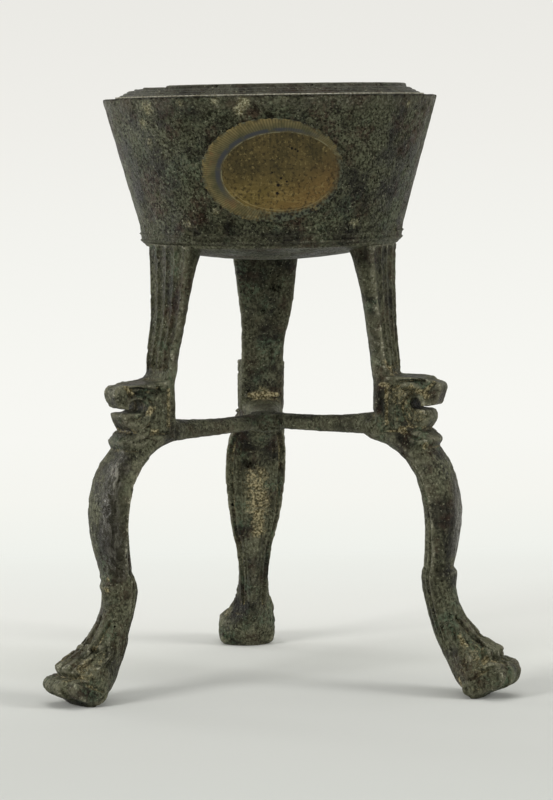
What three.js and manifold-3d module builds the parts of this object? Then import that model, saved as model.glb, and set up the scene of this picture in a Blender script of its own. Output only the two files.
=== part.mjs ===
// A small cast-bronze tripod vase: a flaring cup on three fluted uprights, each fronted by
// an open-mouthed beast head and carried by a lion leg, with three arms joined at a hub.
// Millimetres, +Z up. It stands on the table with the rear leg towards +Y, and the origin is
// under the middle of its box. Until the last lines the hub's axis is at X 0, Y 0.
import * as THREE from "three";
import { mergeVertices } from "three/addons/utils/BufferGeometryUtils.js";
import Module from "manifold-3d";

const wasm = await Module();
wasm.setup();

// Driving dimensions of the cup
const footHeight = 95.9; // table to the underside of the cup wall
const cupHeight = 30.9; // underside of the wall to the flat rim
const rimRadius = 36;
const wallThickness = 2;
const lipWidth = 5; // flat inturned rim, outside edge to opening
const lipThickness = 1.8;
const bandRadius = 28.4; // where the cone meets the upright foot band
const bandHeight = 3.8;
const bandTaper = 0.4; // how far the band draws in by its lower edge
const beadShares = [0.55, 0.18]; // heights of the two beads on the band
const beadRise = 0.3;
const beadHalfHeight = 0.35;
const footWall = 2.5; // thickness of the wall where it stands on the floor plate
const cupOffset = 1; // the cup was set this far to the right of the hub's axis
const floorInset = 0.5; // floor plate's edge, in from the wall's lower edge
const floorEdge = 0.8; // upright edge of the floor plate
const floorEdgeRound = 0.4;
const floorThickness = 2.3;
const domeDrop = 2.9; // how far the floor plate bulges below its edge
const domeRadiusShares = [0, 0.2, 0.4, 0.6, 0.8, 0.92];
const spigotHeight = 1.1; // raised ring on the floor plate that centres in the wall
const spigotWidth = 1.6;

// The collar in the mouth
const rimLand = 3; // flat of the rim left round the collar
const bevelWidth = 3.2; // collar's foot to its shoulder
const shoulderRise = 2;
const shoulderWidth = 3.4; // shoulder to the flat top
const collarRise = 2.6; // rim to the collar's flat top, with the seam counted in
const collarLand = 1.8; // flat top, as wide as this round the mouth
const collarThickness = 1.5;
const collarSkirt = 2;
const collarGroove = 0.2; // depth of the two turned lines on the bevel
const collarGrooveHalf = 0.3;
const collarGrooveShares = [0.3, 0.66]; // along the bevel, from its foot

// The paper label
const labelWidth = 29;
const labelFootMargin = 1.8; // band to the label's lower edge
const labelHeadMargin = 2.9; // label's upper edge to the underside of the lip
const labelThickness = 0.2;
const labelGlue = 0.2;
const labelAzimuth = 263.6; // degrees from +X, seen from above

// The uprights
const postInset = 0.7; // upright's outer face, in from the floor plate's edge
const postSplay = 2.8; // how far the outer face stands further out at its lower end
const postTopWidth = 14.8;
const postTopDepth = 7; // outer edges to the middle of the rounded inner side
const postCrown = 0.5; // how far the outer face bulges
const postCorner = 0.35;
const fluteCount = 4;
const fluteDepth = 0.55;
const fluteMargin = 0.6; // plain strip at each side of the flutes
const fluteStart = 14.4; // plain foot of the upright below the flutes
const fluteTopMargin = 1;
const fluteFade = 2.4; // length of a flute's rounded end
// Each row: height from foot to top, outer face from top radius to foot radius, depth, width
const postShares = [
  [0, 1, 0.4, 0.66],
  [0.16, 0.86, 0.39, 0.65],
  [0.31, 0.64, 0.38, 0.63],
  [0.37, 0.53, 0.38, 0.63],
  [0.42, 0.44, 0.38, 0.64],
  [0.48, 0.34, 0.4, 0.665],
  [0.56, 0.21, 0.43, 0.715],
  [0.64, 0.12, 0.48, 0.765],
  [0.72, 0.06, 0.55, 0.82],
  [0.82, -0.02, 0.66, 0.89],
  [0.91, -0.05, 0.8, 0.96],
  [0.97, -0.02, 0.96, 0.99],
  [1.03, 0.01, 1.12, 1.01],
];

// The beast heads
const headLength = 10.4; // upright's face to the tip of the muzzle
const headHeight = 11.1; // throat to the top of the skull
const headWidth = 10.3;
const headSink = 0.8; // how far the raw block runs into the upright before it is cut
const headBevel = 0.7;
const eyeRadius = 0.95;
const earLength = 2.6;
const earWidth = 1.1;
const earHeight = 1.3;
const mouthEndRadius = 1.1; // the round drilled corner of the mouth
const mouthCornerGap = 0.8;
const mouthOpenGap = 1.9; // at the front of the muzzle
// Side outline as shares of length and height from the throat line at the upright's face
const headOutlineShares = [
  [0.06, 0],
  [0.62, 0],
  [0.74, 0.08],
  [0.86, 0.2],
  [0.88, 0.34],
  [0.89, 0.44],
  [0.97, 0.53],
  [1, 0.62],
  [0.98, 0.79],
  [0.9, 0.87],
  [0.72, 0.88],
  [0.66, 0.95],
  [0.44, 0.97],
  [0.04, 0.99],
];
const mouthShares = [0.62, 0.44]; // its round corner, on the same measures
// Half width along the head: share of length, share of half the width
const headTaperShares = [
  [-1, 1],
  [0.3, 1],
  [0.55, 0.88],
  [0.7, 0.72],
  [1, 0.62],
];
const eyeShares = [0.44, 0.73, 0.84]; // length, height, half width
const earShares = [0.12, 0.83, 0.98];

// The lion legs
const legTop = 54.7; // seat that the upright and the arm stand on
const legRootForward = 0.5; // upright's outer face to the middle of the leg's root
const legSpread = 18; // root to the paw's middle
const legDepth = 6.6;
const legWidth = 12.8;
const legInnerShare = 0.55; // how much the section narrows towards the inner side
const legSectionPower = 0.8; // under 1 squares the section off
// Each row: height, place along the spread, depth, width
const legShares = [
  [0, 1, 0.66, 0.74],
  [0.02, 1.02, 1.05, 0.89],
  [0.06, 1.02, 1.45, 0.97],
  [0.12, 0.99, 1.72, 0.96],
  [0.16, 0.94, 1.86, 0.89],
  [0.185, 0.91, 1.88, 0.81],
  [0.215, 0.83, 1.68, 0.72],
  [0.25, 0.745, 1.45, 0.64],
  [0.305, 0.645, 1.22, 0.56],
  [0.36, 0.58, 1.09, 0.53],
  [0.415, 0.545, 1.08, 0.55],
  [0.45, 0.545, 1.12, 0.6],
  [0.478, 0.55, 1.08, 0.65],
  [0.495, 0.535, 0.86, 0.655],
  [0.56, 0.565, 0.88, 0.77],
  [0.65, 0.595, 0.96, 0.91],
  [0.72, 0.6, 1, 0.98],
  [0.775, 0.58, 1, 1],
  [0.85, 0.52, 1.02, 0.99],
  [0.91, 0.41, 1.17, 0.96],
  [0.942, 0.31, 1.27, 0.93],
  [0.968, 0.185, 1.39, 0.9],
  [0.978, 0.145, 1.69, 0.89],
  [0.989, 0.1, 2.08, 0.88],
  [1, 0.025, 2.53, 0.85],
];
const ruffHeight = 1.5; // how far the roll stands above the leg's seat
const ruffDrop = 1.9; // how far it laps down over the leg
const ruffReach = 8.9; // upright's face to the outside of the roll
const ruffWidth = 11.2;
// Each row: height from the roll's foot to its top, reach, width
const ruffShares = [
  [0, 0.86, 0.94],
  [0.3, 0.98, 1],
  [0.65, 1, 1],
  [1, 0.87, 0.92],
];
const toeCount = 4;
const toeLength = 9.4;
const toeWidth = 3.9;
const toeHeight = 5.6;
const toeForward = 9.1; // paw's middle to the tip of the middle toes
const toeSetBack = 0.8; // outer toes lie this far behind the middle ones
const toeMiddle = 5.4; // height of the toes' middle
const toeLift = 12; // degrees that the toes point up

// The arms and the hub
const armBottomGap = 0.3; // clears the leg's seat
const armThickness = 3.5;
const armWidth = 5;
const armRootShare = 0.82; // of the upright's width at its foot
const armRootLength = 9;
const armFillet = 1.6;
const hubRadius = 4.5;
const hubCrown = 0.5; // how far the hub stands above and below the arms

// How the pieces meet
const seam = 0.3; // clearance at every soldered or seated face
const overrun = 6; // how far a cutting solid runs past what it cuts
const weldDistance = 1e-4;
const roundSegments = 48;
const hubSegments = 24;
const labelSegments = 16;
const sectionPoints = 18;
const innerSteps = 8; // round the inner side of an upright
const smallSegments = 8;

// The three legs as set by hand: name, azimuth in degrees, sideways lean per unit of height
const legs = [
  { name: "left", azimuth: 210, leanShare: 0 },
  { name: "right", azimuth: 330, leanShare: 0 },
  { name: "rear", azimuth: 88.8, leanShare: -0.025 },
];

const bronze = new THREE.MeshStandardMaterial({ color: 0x3d3e35, roughness: 0.6, metalness: 0.7 });
const bronzeDark = new THREE.MeshStandardMaterial({ color: 0x34352e, roughness: 0.7, metalness: 0.6 });
const braze = new THREE.MeshStandardMaterial({ color: 0x4a4a3c, roughness: 0.85, metalness: 0.4 });
const paper = new THREE.MeshStandardMaterial({ color: 0x6d5f38, roughness: 0.9, metalness: 0 });

// Lengths that follow from the ones above
const rimHeight = footHeight + cupHeight;
const bandTop = footHeight + bandHeight;
const lipBottom = rimHeight - lipThickness;
const footRadius = bandRadius - bandTaper;
const cupBore = footRadius - footWall;
const spigotRadius = cupBore - seam;
const floorRadius = footRadius - floorInset;
const floorTop = footHeight - seam;
const floorRimHeight = floorTop - floorEdge; // where the dome starts
const collarBase = rimHeight + seam;
const collarTop = rimHeight + collarRise;
const collarRadius = rimRadius - rimLand;
const shoulderRadius = collarRadius - bevelWidth;
const collarTopRadius = shoulderRadius - shoulderWidth;
const mouthRadius = collarTopRadius - collarLand;
const labelLow = bandTop + labelFootMargin;
const labelHigh = lipBottom - labelHeadMargin;
const labelMiddle = (labelLow + labelHigh) / 2;
const postTopRadius = floorRadius - postInset;
const postFootRadius = postTopRadius + postSplay;
const postBottom = legTop + seam;
const postHeight = floorRimHeight - postBottom;
const fluteBottom = postBottom + fluteStart;
const fluteTop = floorRimHeight - fluteTopMargin;
const legRootRadius = postFootRadius + legRootForward;
const toeReach = legRootRadius + legSpread + toeForward;
const headBottom = legTop + ruffHeight + seam;
const armBottom = legTop + armBottomGap;
const armTop = armBottom + armThickness;
const [, , footDepthShare, footWidthShare] = postShares[0];
const postInnerFace = postFootRadius - postCrown - postCorner - footDepthShare * postTopDepth;
const armRootWidth = footWidthShare * postTopWidth * armRootShare;

// A closed geometry as a solid that can be cut and joined
function solid(geometry) {
  const bare = geometry.clone();
  bare.deleteAttribute("normal");
  bare.deleteAttribute("uv");
  const welded = mergeVertices(bare, weldDistance);
  return new wasm.Manifold(
    new wasm.Mesh({
      numProp: 3,
      vertProperties: welded.attributes.position.array,
      triVerts: new Uint32Array(welded.index.array),
    }),
  );
}

// A solid as a geometry for a mesh
function geometryOf(body) {
  const mesh = body.getMesh();
  const geometry = new THREE.BufferGeometry();
  geometry.setAttribute("position", new THREE.BufferAttribute(mesh.vertProperties, 3));
  geometry.setIndex(new THREE.BufferAttribute(mesh.triVerts, 1));
  geometry.computeVertexNormals();
  return geometry;
}

// A profile of [radius, height] turned round the Z axis
function turned(profile, segments = roundSegments) {
  const points = profile.map(([radius, height]) => new THREE.Vector2(radius, height));
  return new THREE.LatheGeometry(points, segments).rotateX(Math.PI / 2);
}

// Rings of points with the same count, joined in order and closed at both ends
function loft(rings) {
  const count = rings[0].length;
  const positions = rings.flat().flatMap((p) => [p.x, p.y, p.z]);
  const middle = (ring) =>
    ring.reduce((sum, p) => sum.add(p), new THREE.Vector3()).divideScalar(ring.length);
  const ends = [middle(rings[0]), middle(rings[rings.length - 1])];
  ends.forEach((p) => positions.push(p.x, p.y, p.z));
  const first = rings.length * count;
  const faces = [];
  for (let i = 0; i < count; i++) {
    const next = (i + 1) % count;
    for (let k = 0; k + 1 < rings.length; k++) {
      const low = k * count;
      const high = low + count;
      faces.push(low + i, low + next, high + next, low + i, high + next, high + i);
    }
    const last = (rings.length - 1) * count;
    faces.push(first, next, i);
    faces.push(first + 1, last + i, last + next);
  }
  const geometry = new THREE.BufferGeometry();
  geometry.setAttribute("position", new THREE.Float32BufferAttribute(positions, 3));
  geometry.setIndex(faces);
  return geometry;
}

// Value of a table of [place, value] rows at a place, along straight lines
function along(table, place) {
  const after = table.findIndex(([at]) => at >= place);
  if (after < 0) return table[table.length - 1][1];
  if (after === 0) return table[0][1];
  const [a, va] = table[after - 1];
  const [b, vb] = table[after];
  return va + ((vb - va) * (place - a)) / (b - a);
}

function ellipsoid(length, width, height) {
  const unit = new THREE.SphereGeometry(1, smallSegments, smallSegments - 2);
  return unit.scale(length / 2, width / 2, height / 2);
}

// An outline in the leg's own upright plane, given thickness across it
function upright(shape, width, bevel = 0) {
  const geometry = new THREE.ExtrudeGeometry(shape, {
    depth: width - 2 * bevel,
    bevelEnabled: bevel > 0,
    bevelThickness: bevel,
    bevelSize: bevel,
    bevelOffset: -bevel,
    bevelSegments: 2,
    curveSegments: 6,
  });
  return geometry.translate(0, 0, -width / 2 + bevel).rotateX(Math.PI / 2);
}

// One of the two thin rings round the band
function bead(share) {
  const height = footHeight + share * bandHeight;
  const radius = wallRadius(height);
  return [
    [wallRadius(height + beadHalfHeight), height + beadHalfHeight],
    [radius + beadRise, height],
    [wallRadius(height - beadHalfHeight), height - beadHalfHeight],
  ];
}

// Outside radius of the cup wall at a height
function wallRadius(height) {
  if (height >= bandTop) {
    const share = (height - bandTop) / (rimHeight - bandTop);
    return bandRadius + (rimRadius - bandRadius) * share;
  }
  return bandRadius - (bandTaper * (bandTop - height)) / bandHeight;
}

function bowlBody() {
  const innerBand = bandRadius - wallThickness;
  return turned([
    [rimRadius, rimHeight],
    [rimRadius - lipWidth, rimHeight],
    [rimRadius - lipWidth, lipBottom],
    [wallRadius(lipBottom) - wallThickness, lipBottom],
    [innerBand, bandTop],
    [cupBore, footHeight + spigotHeight],
    [cupBore, footHeight],
    [footRadius, footHeight],
    ...beadShares.flatMap(bead).reverse(),
    [bandRadius, bandTop],
    [rimRadius, rimHeight],
  ]);
}

// Underside of the floor plate at a radius, a shallow bowl shape
function domeHeight(radius) {
  const share = radius / (floorRadius - floorEdgeRound);
  return floorRimHeight - domeDrop * (1 - share * share);
}

function bowlFloor() {
  const rim = floorRadius - floorEdgeRound;
  const under = [...domeRadiusShares, 1].map((share) => [share * rim, domeHeight(share * rim)]);
  const well = spigotRadius - spigotWidth;
  const inside = domeRadiusShares.map((share) => [
    share * well,
    domeHeight(share * well) + floorThickness,
  ]);
  return turned([
    ...under,
    [floorRadius, floorRimHeight + floorEdgeRound],
    [floorRadius, floorTop],
    [spigotRadius, floorTop],
    [spigotRadius, floorTop + spigotHeight],
    [well, floorTop + spigotHeight],
    ...inside.reverse(),
  ]);
}

function mouthCollar() {
  const foot = new THREE.Vector2(collarRadius, collarBase);
  const shoulder = new THREE.Vector2(shoulderRadius, rimHeight + shoulderRise);
  const slope = shoulder.clone().sub(foot);
  const inward = new THREE.Vector2(-slope.y, slope.x).normalize();
  const half = slope.clone().setLength(collarGrooveHalf);
  const line = (share) => {
    const middle = foot.clone().addScaledVector(slope, share);
    const sunk = middle.clone().addScaledVector(inward, collarGroove);
    return [middle.clone().sub(half), sunk, middle.clone().add(half)];
  };
  const lines = collarGrooveShares.flatMap(line).map((p) => [p.x, p.y]);
  const skirtRadius = rimRadius - lipWidth - seam;
  const skirtInner = skirtRadius - collarThickness;
  const underTop = collarTop - collarThickness;
  return turned([
    [skirtRadius, collarBase],
    [collarRadius, collarBase],
    ...lines,
    [shoulder.x, shoulder.y],
    [collarTopRadius, collarTop],
    [mouthRadius, collarTop],
    [mouthRadius, underTop],
    [collarTopRadius, underTop],
    [skirtInner, collarBase - collarThickness / 2],
    [skirtInner, collarBase - collarSkirt],
    [skirtRadius, collarBase - collarSkirt],
    [skirtRadius, collarBase],
  ]);
}

// A patch of a thin cone round the wall, cut to an oval
function inventoryLabel() {
  const low = labelLow - overrun / 2;
  const high = labelHigh + overrun / 2;
  const inner = (height) => wallRadius(height) + labelGlue;
  const skin = turned([
    [inner(low), low],
    [inner(low) + labelThickness, low],
    [inner(high) + labelThickness, high],
    [inner(high), high],
    [inner(low), low],
  ]);
  const halfHeight = (labelHigh - labelLow) / 2;
  const oval = new THREE.Shape().absellipse(0, 0, labelWidth / 2, halfHeight, 0, 2 * Math.PI);
  const reach = rimRadius + overrun;
  const prism = new THREE.ExtrudeGeometry(oval, {
    depth: reach,
    bevelEnabled: false,
    curveSegments: labelSegments,
  });
  prism.rotateX(Math.PI / 2).rotateZ(Math.PI / 2).translate(0, 0, labelMiddle);
  prism.rotateZ(THREE.MathUtils.degToRad(labelAzimuth));
  return solid(skin).intersect(solid(prism));
}

// How deep the flutes are cut at a height, with rounded ends
function fluteFadeAt(height) {
  const below = (height - fluteBottom) / fluteFade;
  const above = (fluteTop - height) / fluteFade;
  return Math.sqrt(THREE.MathUtils.clamp(Math.min(below, above), 0, 1));
}

// One level of an upright: fluted outside, rounded inside, and larger all round by grow
function postRing([heightShare, radiusShare, depthShare, widthShare], grow) {
  const height = postBottom + heightShare * postHeight - (heightShare > 0 ? 0 : grow);
  const outer = postTopRadius + radiusShare * (postFootRadius - postTopRadius) + grow;
  const edge = outer - postCrown;
  const half = (widthShare * postTopWidth) / 2 + grow;
  const fluted = half - fluteMargin;
  const steps = fluteCount * 4;
  const ring = [];
  for (let i = 0; i <= steps; i++) {
    const across = (2 * i) / steps - 1;
    const wave = Math.abs(Math.sin((i / steps) * fluteCount * Math.PI));
    const cut = grow > 0 ? 0 : fluteDepth * wave * fluteFadeAt(height);
    ring.push([outer - postCrown * across ** 2 - cut, fluted * across]);
  }
  const depth = depthShare * postTopDepth + 2 * grow;
  for (let i = 0; i <= innerSteps; i++) {
    const angle = (i / innerSteps) * Math.PI;
    ring.push([edge - postCorner - depth * Math.sin(angle), half * Math.cos(angle)]);
  }
  return ring.map(([x, y]) => new THREE.Vector3(x, y, height));
}

function postBlank(grow) {
  return solid(loft(postShares.map((row) => postRing(row, grow))));
}

// A leg's solid, moved sideways in proportion to its height
function leaned(body, leanShare) {
  return body.transform(new THREE.Matrix4().makeShear(0, 0, 0, 0, 0, leanShare).toArray());
}

// Everything above the floor plate's underside, lowered by the seam
function floorCutter() {
  const rim = floorRadius - floorEdgeRound;
  const wide = floorRadius + overrun;
  const under = [...domeRadiusShares, 1].map((share) => [
    share * rim,
    domeHeight(share * rim) - seam,
  ]);
  const flat = floorRimHeight - seam;
  const high = footHeight + overrun;
  return solid(turned([...under, [wide, flat], [wide, high], [0, high]])).translate(cupOffset, 0, 0);
}

const underFloor = floorCutter();

// An upright, cut to fit under the cup's floor as that lies in the leg's own frame
function post(leanShare, azimuth) {
  return leaned(postBlank(0), leanShare).subtract(underFloor.rotate([0, 0, -azimuth]));
}

// Outer face of an upright at its lower end, where the head's measures start
const headFace = postFootRadius;

function headPoint([lengthShare, heightShare]) {
  return new THREE.Vector2(
    headFace + lengthShare * headLength,
    headBottom + heightShare * headHeight,
  );
}

function headOutline() {
  const shape = new THREE.Shape();
  shape.moveTo(headFace - headSink, headBottom);
  headOutlineShares.map(headPoint).forEach((p) => shape.lineTo(p.x, p.y));
  shape.lineTo(headFace - headSink, headBottom + headHeight);
  shape.closePath();
  return shape;
}

// The open mouth: a wedge right across, ending in a round hollow
function mouthCutter() {
  const end = headPoint(mouthShares);
  const front = headFace + headLength + overrun;
  const widening = (mouthOpenGap - mouthCornerGap) / (headFace + headLength - end.x);
  const frontGap = mouthCornerGap + widening * (front - end.x);
  const wedge = new THREE.Shape();
  wedge.moveTo(end.x, end.y - mouthCornerGap / 2);
  wedge.lineTo(front, end.y - frontGap / 2);
  wedge.lineTo(front, end.y + frontGap / 2);
  wedge.lineTo(end.x, end.y + mouthCornerGap / 2);
  wedge.closePath();
  const hollow = new THREE.Shape().absarc(end.x, end.y, mouthEndRadius, 0, 2 * Math.PI);
  const across = headWidth + overrun;
  return solid(upright(wedge, across)).add(solid(upright(hollow, across)));
}

function onHead([lengthShare, heightShare, widthShare], side) {
  const at = headPoint([lengthShare, heightShare]);
  return [at.x, (side * widthShare * headWidth) / 2, at.y];
}

function head() {
  const block = upright(headOutline(), headWidth, headBevel);
  const position = block.getAttribute("position");
  for (let i = 0; i < position.count; i++) {
    const share = (position.getX(i) - headFace) / headLength;
    position.setY(i, position.getY(i) * along(headTaperShares, share));
  }
  let body = solid(block).subtract(mouthCutter());
  for (const side of [-1, 1]) {
    const eye = ellipsoid(2 * eyeRadius, 2 * eyeRadius, 2 * eyeRadius);
    const ear = ellipsoid(earLength, earWidth, earHeight);
    body = body
      .add(solid(eye.translate(...onHead(eyeShares, side))))
      .add(solid(ear.translate(...onHead(earShares, side))));
  }
  return body.subtract(postBlank(seam));
}

// A rounded section, narrower towards the cup's axis
function eggRing(middle, depth, width, height, innerShare) {
  const ring = [];
  for (let i = 0; i < sectionPoints; i++) {
    const angle = (i / sectionPoints) * 2 * Math.PI;
    const squared = (value) => Math.sign(value) * Math.abs(value) ** legSectionPower;
    const x = squared(Math.cos(angle));
    const narrowing = x < 0 ? 1 + x * (1 - innerShare) : 1;
    const y = squared(Math.sin(angle)) * narrowing;
    ring.push(new THREE.Vector3(middle + (x * depth) / 2, (y * width) / 2, height));
  }
  return ring;
}

function limb() {
  return loft(
    legShares.map(([heightShare, spreadShare, depthShare, widthShare]) =>
      eggRing(
        legRootRadius + spreadShare * legSpread,
        depthShare * legDepth,
        widthShare * legWidth,
        heightShare * legTop,
        legInnerShare,
      ),
    ),
  );
}

// The rolled ruff under the head, in front of the upright
function ruff() {
  const back = postFootRadius + seam;
  const low = legTop - ruffDrop;
  const tall = ruffHeight + ruffDrop;
  return loft(
    ruffShares.map(([heightShare, reachShare, widthShare]) => {
      const depth = reachShare * ruffReach;
      return eggRing(back + depth / 2, depth, widthShare * ruffWidth, low + heightShare * tall, 1);
    }),
  );
}

function toe(index) {
  const place = index - (toeCount - 1) / 2;
  const outermost = (toeCount - 1) / 2;
  const back = (toeSetBack * Math.abs(place)) / outermost;
  const across = (place * (legWidth - toeWidth)) / (toeCount - 1);
  return ellipsoid(toeLength, toeWidth, toeHeight)
    .rotateY(-THREE.MathUtils.degToRad(toeLift))
    .translate(toeReach - toeLength / 2 - back, across, toeMiddle);
}

function lionLeg() {
  let body = solid(limb()).add(solid(ruff()));
  for (let index = 0; index < toeCount; index++) {
    body = body.add(solid(toe(index)));
  }
  return body;
}

// An arm from the hub to the upright: its side view and its plan, each given thickness
function arm(leanShare) {
  const end = (postInnerFace + postFootRadius) / 2; // inside the upright, where it is cut off
  const side = new THREE.Shape();
  side.moveTo(0, armBottom);
  side.lineTo(end, armBottom);
  side.lineTo(end, armTop + armFillet);
  side.lineTo(postInnerFace, armTop + armFillet);
  side.quadraticCurveTo(postInnerFace, armTop, postInnerFace - 2 * armFillet, armTop);
  side.lineTo(0, armTop);
  side.closePath();
  const plan = new THREE.Shape();
  plan.moveTo(0, -armWidth / 2);
  plan.lineTo(postInnerFace - armRootLength, -armWidth / 2);
  plan.quadraticCurveTo(postInnerFace, -armWidth / 2, postInnerFace, -armRootWidth / 2);
  plan.lineTo(end, -armRootWidth / 2);
  plan.lineTo(end, armRootWidth / 2);
  plan.lineTo(postInnerFace, armRootWidth / 2);
  plan.quadraticCurveTo(postInnerFace, armWidth / 2, postInnerFace - armRootLength, armWidth / 2);
  plan.lineTo(0, armWidth / 2);
  plan.closePath();
  const tall = new THREE.ExtrudeGeometry(plan, {
    depth: armThickness + 2 * overrun,
    bevelEnabled: false,
    curveSegments: 6,
  }).translate(0, 0, armBottom - overrun);
  const bar = solid(upright(side, armRootWidth + overrun)).intersect(solid(tall));
  const yaw = Math.atan2(leanShare * armTop, postInnerFace);
  const turnedBar = bar.rotate([0, 0, THREE.MathUtils.radToDeg(yaw)]);
  return turnedBar.subtract(leaned(postBlank(seam), leanShare)).subtract(hubSolid(seam));
}

// The lump that joins the arms, larger all round by grow
function hubSolid(grow) {
  const radius = hubRadius + grow;
  const low = armBottom - hubCrown - grow;
  const high = armTop + hubCrown + grow;
  const edge = hubCrown + grow;
  const profile = [
    [0, low],
    [radius - edge, low],
    [radius, low + edge],
    [radius, high - edge],
    [radius - edge, high],
    [0, high],
  ];
  return solid(turned(profile, hubSegments));
}

function named(name, geometry, material) {
  const mesh = new THREE.Mesh(geometry, material);
  mesh.name = name;
  return mesh;
}

const cup = new THREE.Group();
cup.position.x = cupOffset;
cup.add(
  named("bowl_body", bowlBody(), bronze),
  named("bowl_floor", bowlFloor(), bronzeDark),
  named("mouth_collar", mouthCollar(), bronze),
  named("inventory_label", geometryOf(inventoryLabel()), paper),
);

const tripod = new THREE.Group();
tripod.add(named("arm_hub", geometryOf(hubSolid(0)), braze));
for (const { name, azimuth, leanShare } of legs) {
  const leg = new THREE.Group();
  leg.rotation.z = THREE.MathUtils.degToRad(azimuth);
  leg.add(
    named(name + "_post", geometryOf(post(leanShare, azimuth)), bronze),
    named(name + "_head", geometryOf(leaned(head(), leanShare)), bronze),
    named(name + "_leg", geometryOf(leaned(lionLeg(), leanShare)), bronze),
    named(name + "_arm", geometryOf(arm(leanShare)), bronzeDark),
  );
  tripod.add(leg);
}

// The vase stands on Z 0 with the middle of its box over the origin
const vase = new THREE.Group();
vase.add(cup, tripod);
const box = new THREE.Box3().setFromObject(vase, true);
const middle = box.getCenter(new THREE.Vector3());
vase.position.set(-middle.x, -middle.y, -box.min.z);

export default vase;
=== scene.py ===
"""A small cast-bronze tripod vase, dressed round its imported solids.

Pieces are modelled in millimetres, each leg in its own frame: X runs outwards from the hub's
axis, Y across the leg and Z up. A finished piece is brought to its place and to metres.
"""

import math

import bpy
import numpy as np
from mathutils import Matrix, Vector
from mathutils.kdtree import KDTree


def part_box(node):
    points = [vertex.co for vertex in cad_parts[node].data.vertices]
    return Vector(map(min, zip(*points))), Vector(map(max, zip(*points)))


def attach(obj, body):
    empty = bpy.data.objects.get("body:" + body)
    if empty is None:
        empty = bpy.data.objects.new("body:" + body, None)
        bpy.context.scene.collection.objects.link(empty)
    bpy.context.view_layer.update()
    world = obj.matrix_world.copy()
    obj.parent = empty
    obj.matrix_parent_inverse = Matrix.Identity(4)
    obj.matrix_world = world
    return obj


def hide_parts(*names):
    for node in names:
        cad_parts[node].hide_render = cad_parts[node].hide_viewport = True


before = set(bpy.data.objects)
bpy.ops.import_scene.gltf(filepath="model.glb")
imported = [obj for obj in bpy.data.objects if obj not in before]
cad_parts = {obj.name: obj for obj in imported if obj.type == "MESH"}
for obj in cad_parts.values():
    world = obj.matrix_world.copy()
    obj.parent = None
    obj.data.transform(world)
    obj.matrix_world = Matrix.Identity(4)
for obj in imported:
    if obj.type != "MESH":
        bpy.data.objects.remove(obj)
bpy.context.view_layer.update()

MM = 0.001  # metres in a millimetre


def box_mm(node):
    """Lowest and highest corner of a CAD node, in millimetres."""
    low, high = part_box(node)
    return low / MM, high / MM


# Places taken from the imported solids
cup_low, cup_high = box_mm("bowl_body")
floor_low, floor_high = box_mm("bowl_floor")
hub_low, hub_high = box_mm("arm_hub")
cup_axis = (cup_low + cup_high) / 2
hub_axis = (hub_low + hub_high) / 2
rim_height = cup_high.z
rim_radius = (cup_high.x - cup_low.x) / 2
foot_height = cup_low.z
collar_top = box_mm("mouth_collar")[1].z
post_bottom = box_mm("left_post")[0].z
arm_bottom = box_mm("left_arm")[0].z
hub_radius = (hub_high.x - hub_low.x) / 2
hub_middle = (hub_low.z + hub_high.z) / 2
hub_height = hub_high.z - hub_low.z

weld = 0.0001  # points closer than this become one
spin_weld = 0.001  # the same on a turned body
press_slope = 2.5  # how soon a stroke fades on faces that turn away from it
pit_power = 3  # the higher, the more of the pits are small

# The cup
wall_thickness = 2.0
lip_width = 5.0
lip_thickness = 1.8
band_radius = 28.4
band_height = 3.8
foot_radius = 28.0
foot_wall = 2.5
foot_chamfer_in = 0.3
foot_chamfer_up = 0.4
foot_seat = 1.0
rim_round = 0.5
rim_round_shares = (0.3, 0.2)
bead_shares = [0.55, 0.18]
bead_rise = 0.3
bead_half = 0.3
cup_segments = 360
cup_step = 0.45  # length of a face up the wall
inner_step = 1.6  # and inside it
cup_lean = math.radians(0.9)  # the cup was set leaning to the left

# The plate that closes its foot
floor_radius = 27.5
floor_thickness = 2.3
dome_shares = [0, 0.2, 0.4, 0.6, 0.8, 0.92, 1]
plate_edge = 1.4  # height of its rim
plate_round = 0.4
plate_chamfer = 0.5
plate_gap = 0.2  # how far it stays under the cup
plate_well = 4.0  # width of its rim
plate_step = 1.0
plate_segments = 160

# The collar in its mouth
collar_radius = 33.2
shoulder_radius = 30.2
shoulder_rise = 1.7
tier_radius = 29.4
mouth_radius = 24.6
collar_thickness = 1.5
collar_line_shares = [0.2, 0.5, 0.78]
collar_line_depth = 0.18
collar_line_half = 0.25
collar_line_share = 0.5  # how far such a line sinks inwards, of its depth
collar_edge = 0.4  # width of its worn foot
# How strongly the worn foot edge is painted pale: partly bare metal, partly a painted highlight
collar_edge_wear_and_highlight = 0.95
collar_foot_face = 0.3  # height of the upright face there
collar_seat = 0.1  # how far it stands over the rim
collar_segments = 300
tier_slope = 0.1
tier_foot = 0.05
tier_chamfer = 0.15
tier_round = 0.4
mouth_round = 0.2
# The ring that it grips the lip with
ring_gap = 1.8
ring_top = 0.8
ring_depth = 1.9
ring_wall = 1.5
# A worn notch in its top: radius, half width, depth, and where it runs, in degrees
notch_radius = 27.0
notch_half = 2.9
notch_depth = 1.15
notch_angles = (158, 172, 187, 200, 212)

# The legs as set by hand: name, azimuth in degrees, sideways lean per unit of height
legs = [
    ("left", 210.0, 0.0), ("right", 330.0, 0.0), ("rear", 88.8, -0.025),
]

# A leg's upright
post_top_radius = 26.8
post_foot_radius = 29.6
post_top_height = 95.7
post_top_width = 14.8
post_top_depth = 7.0
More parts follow.
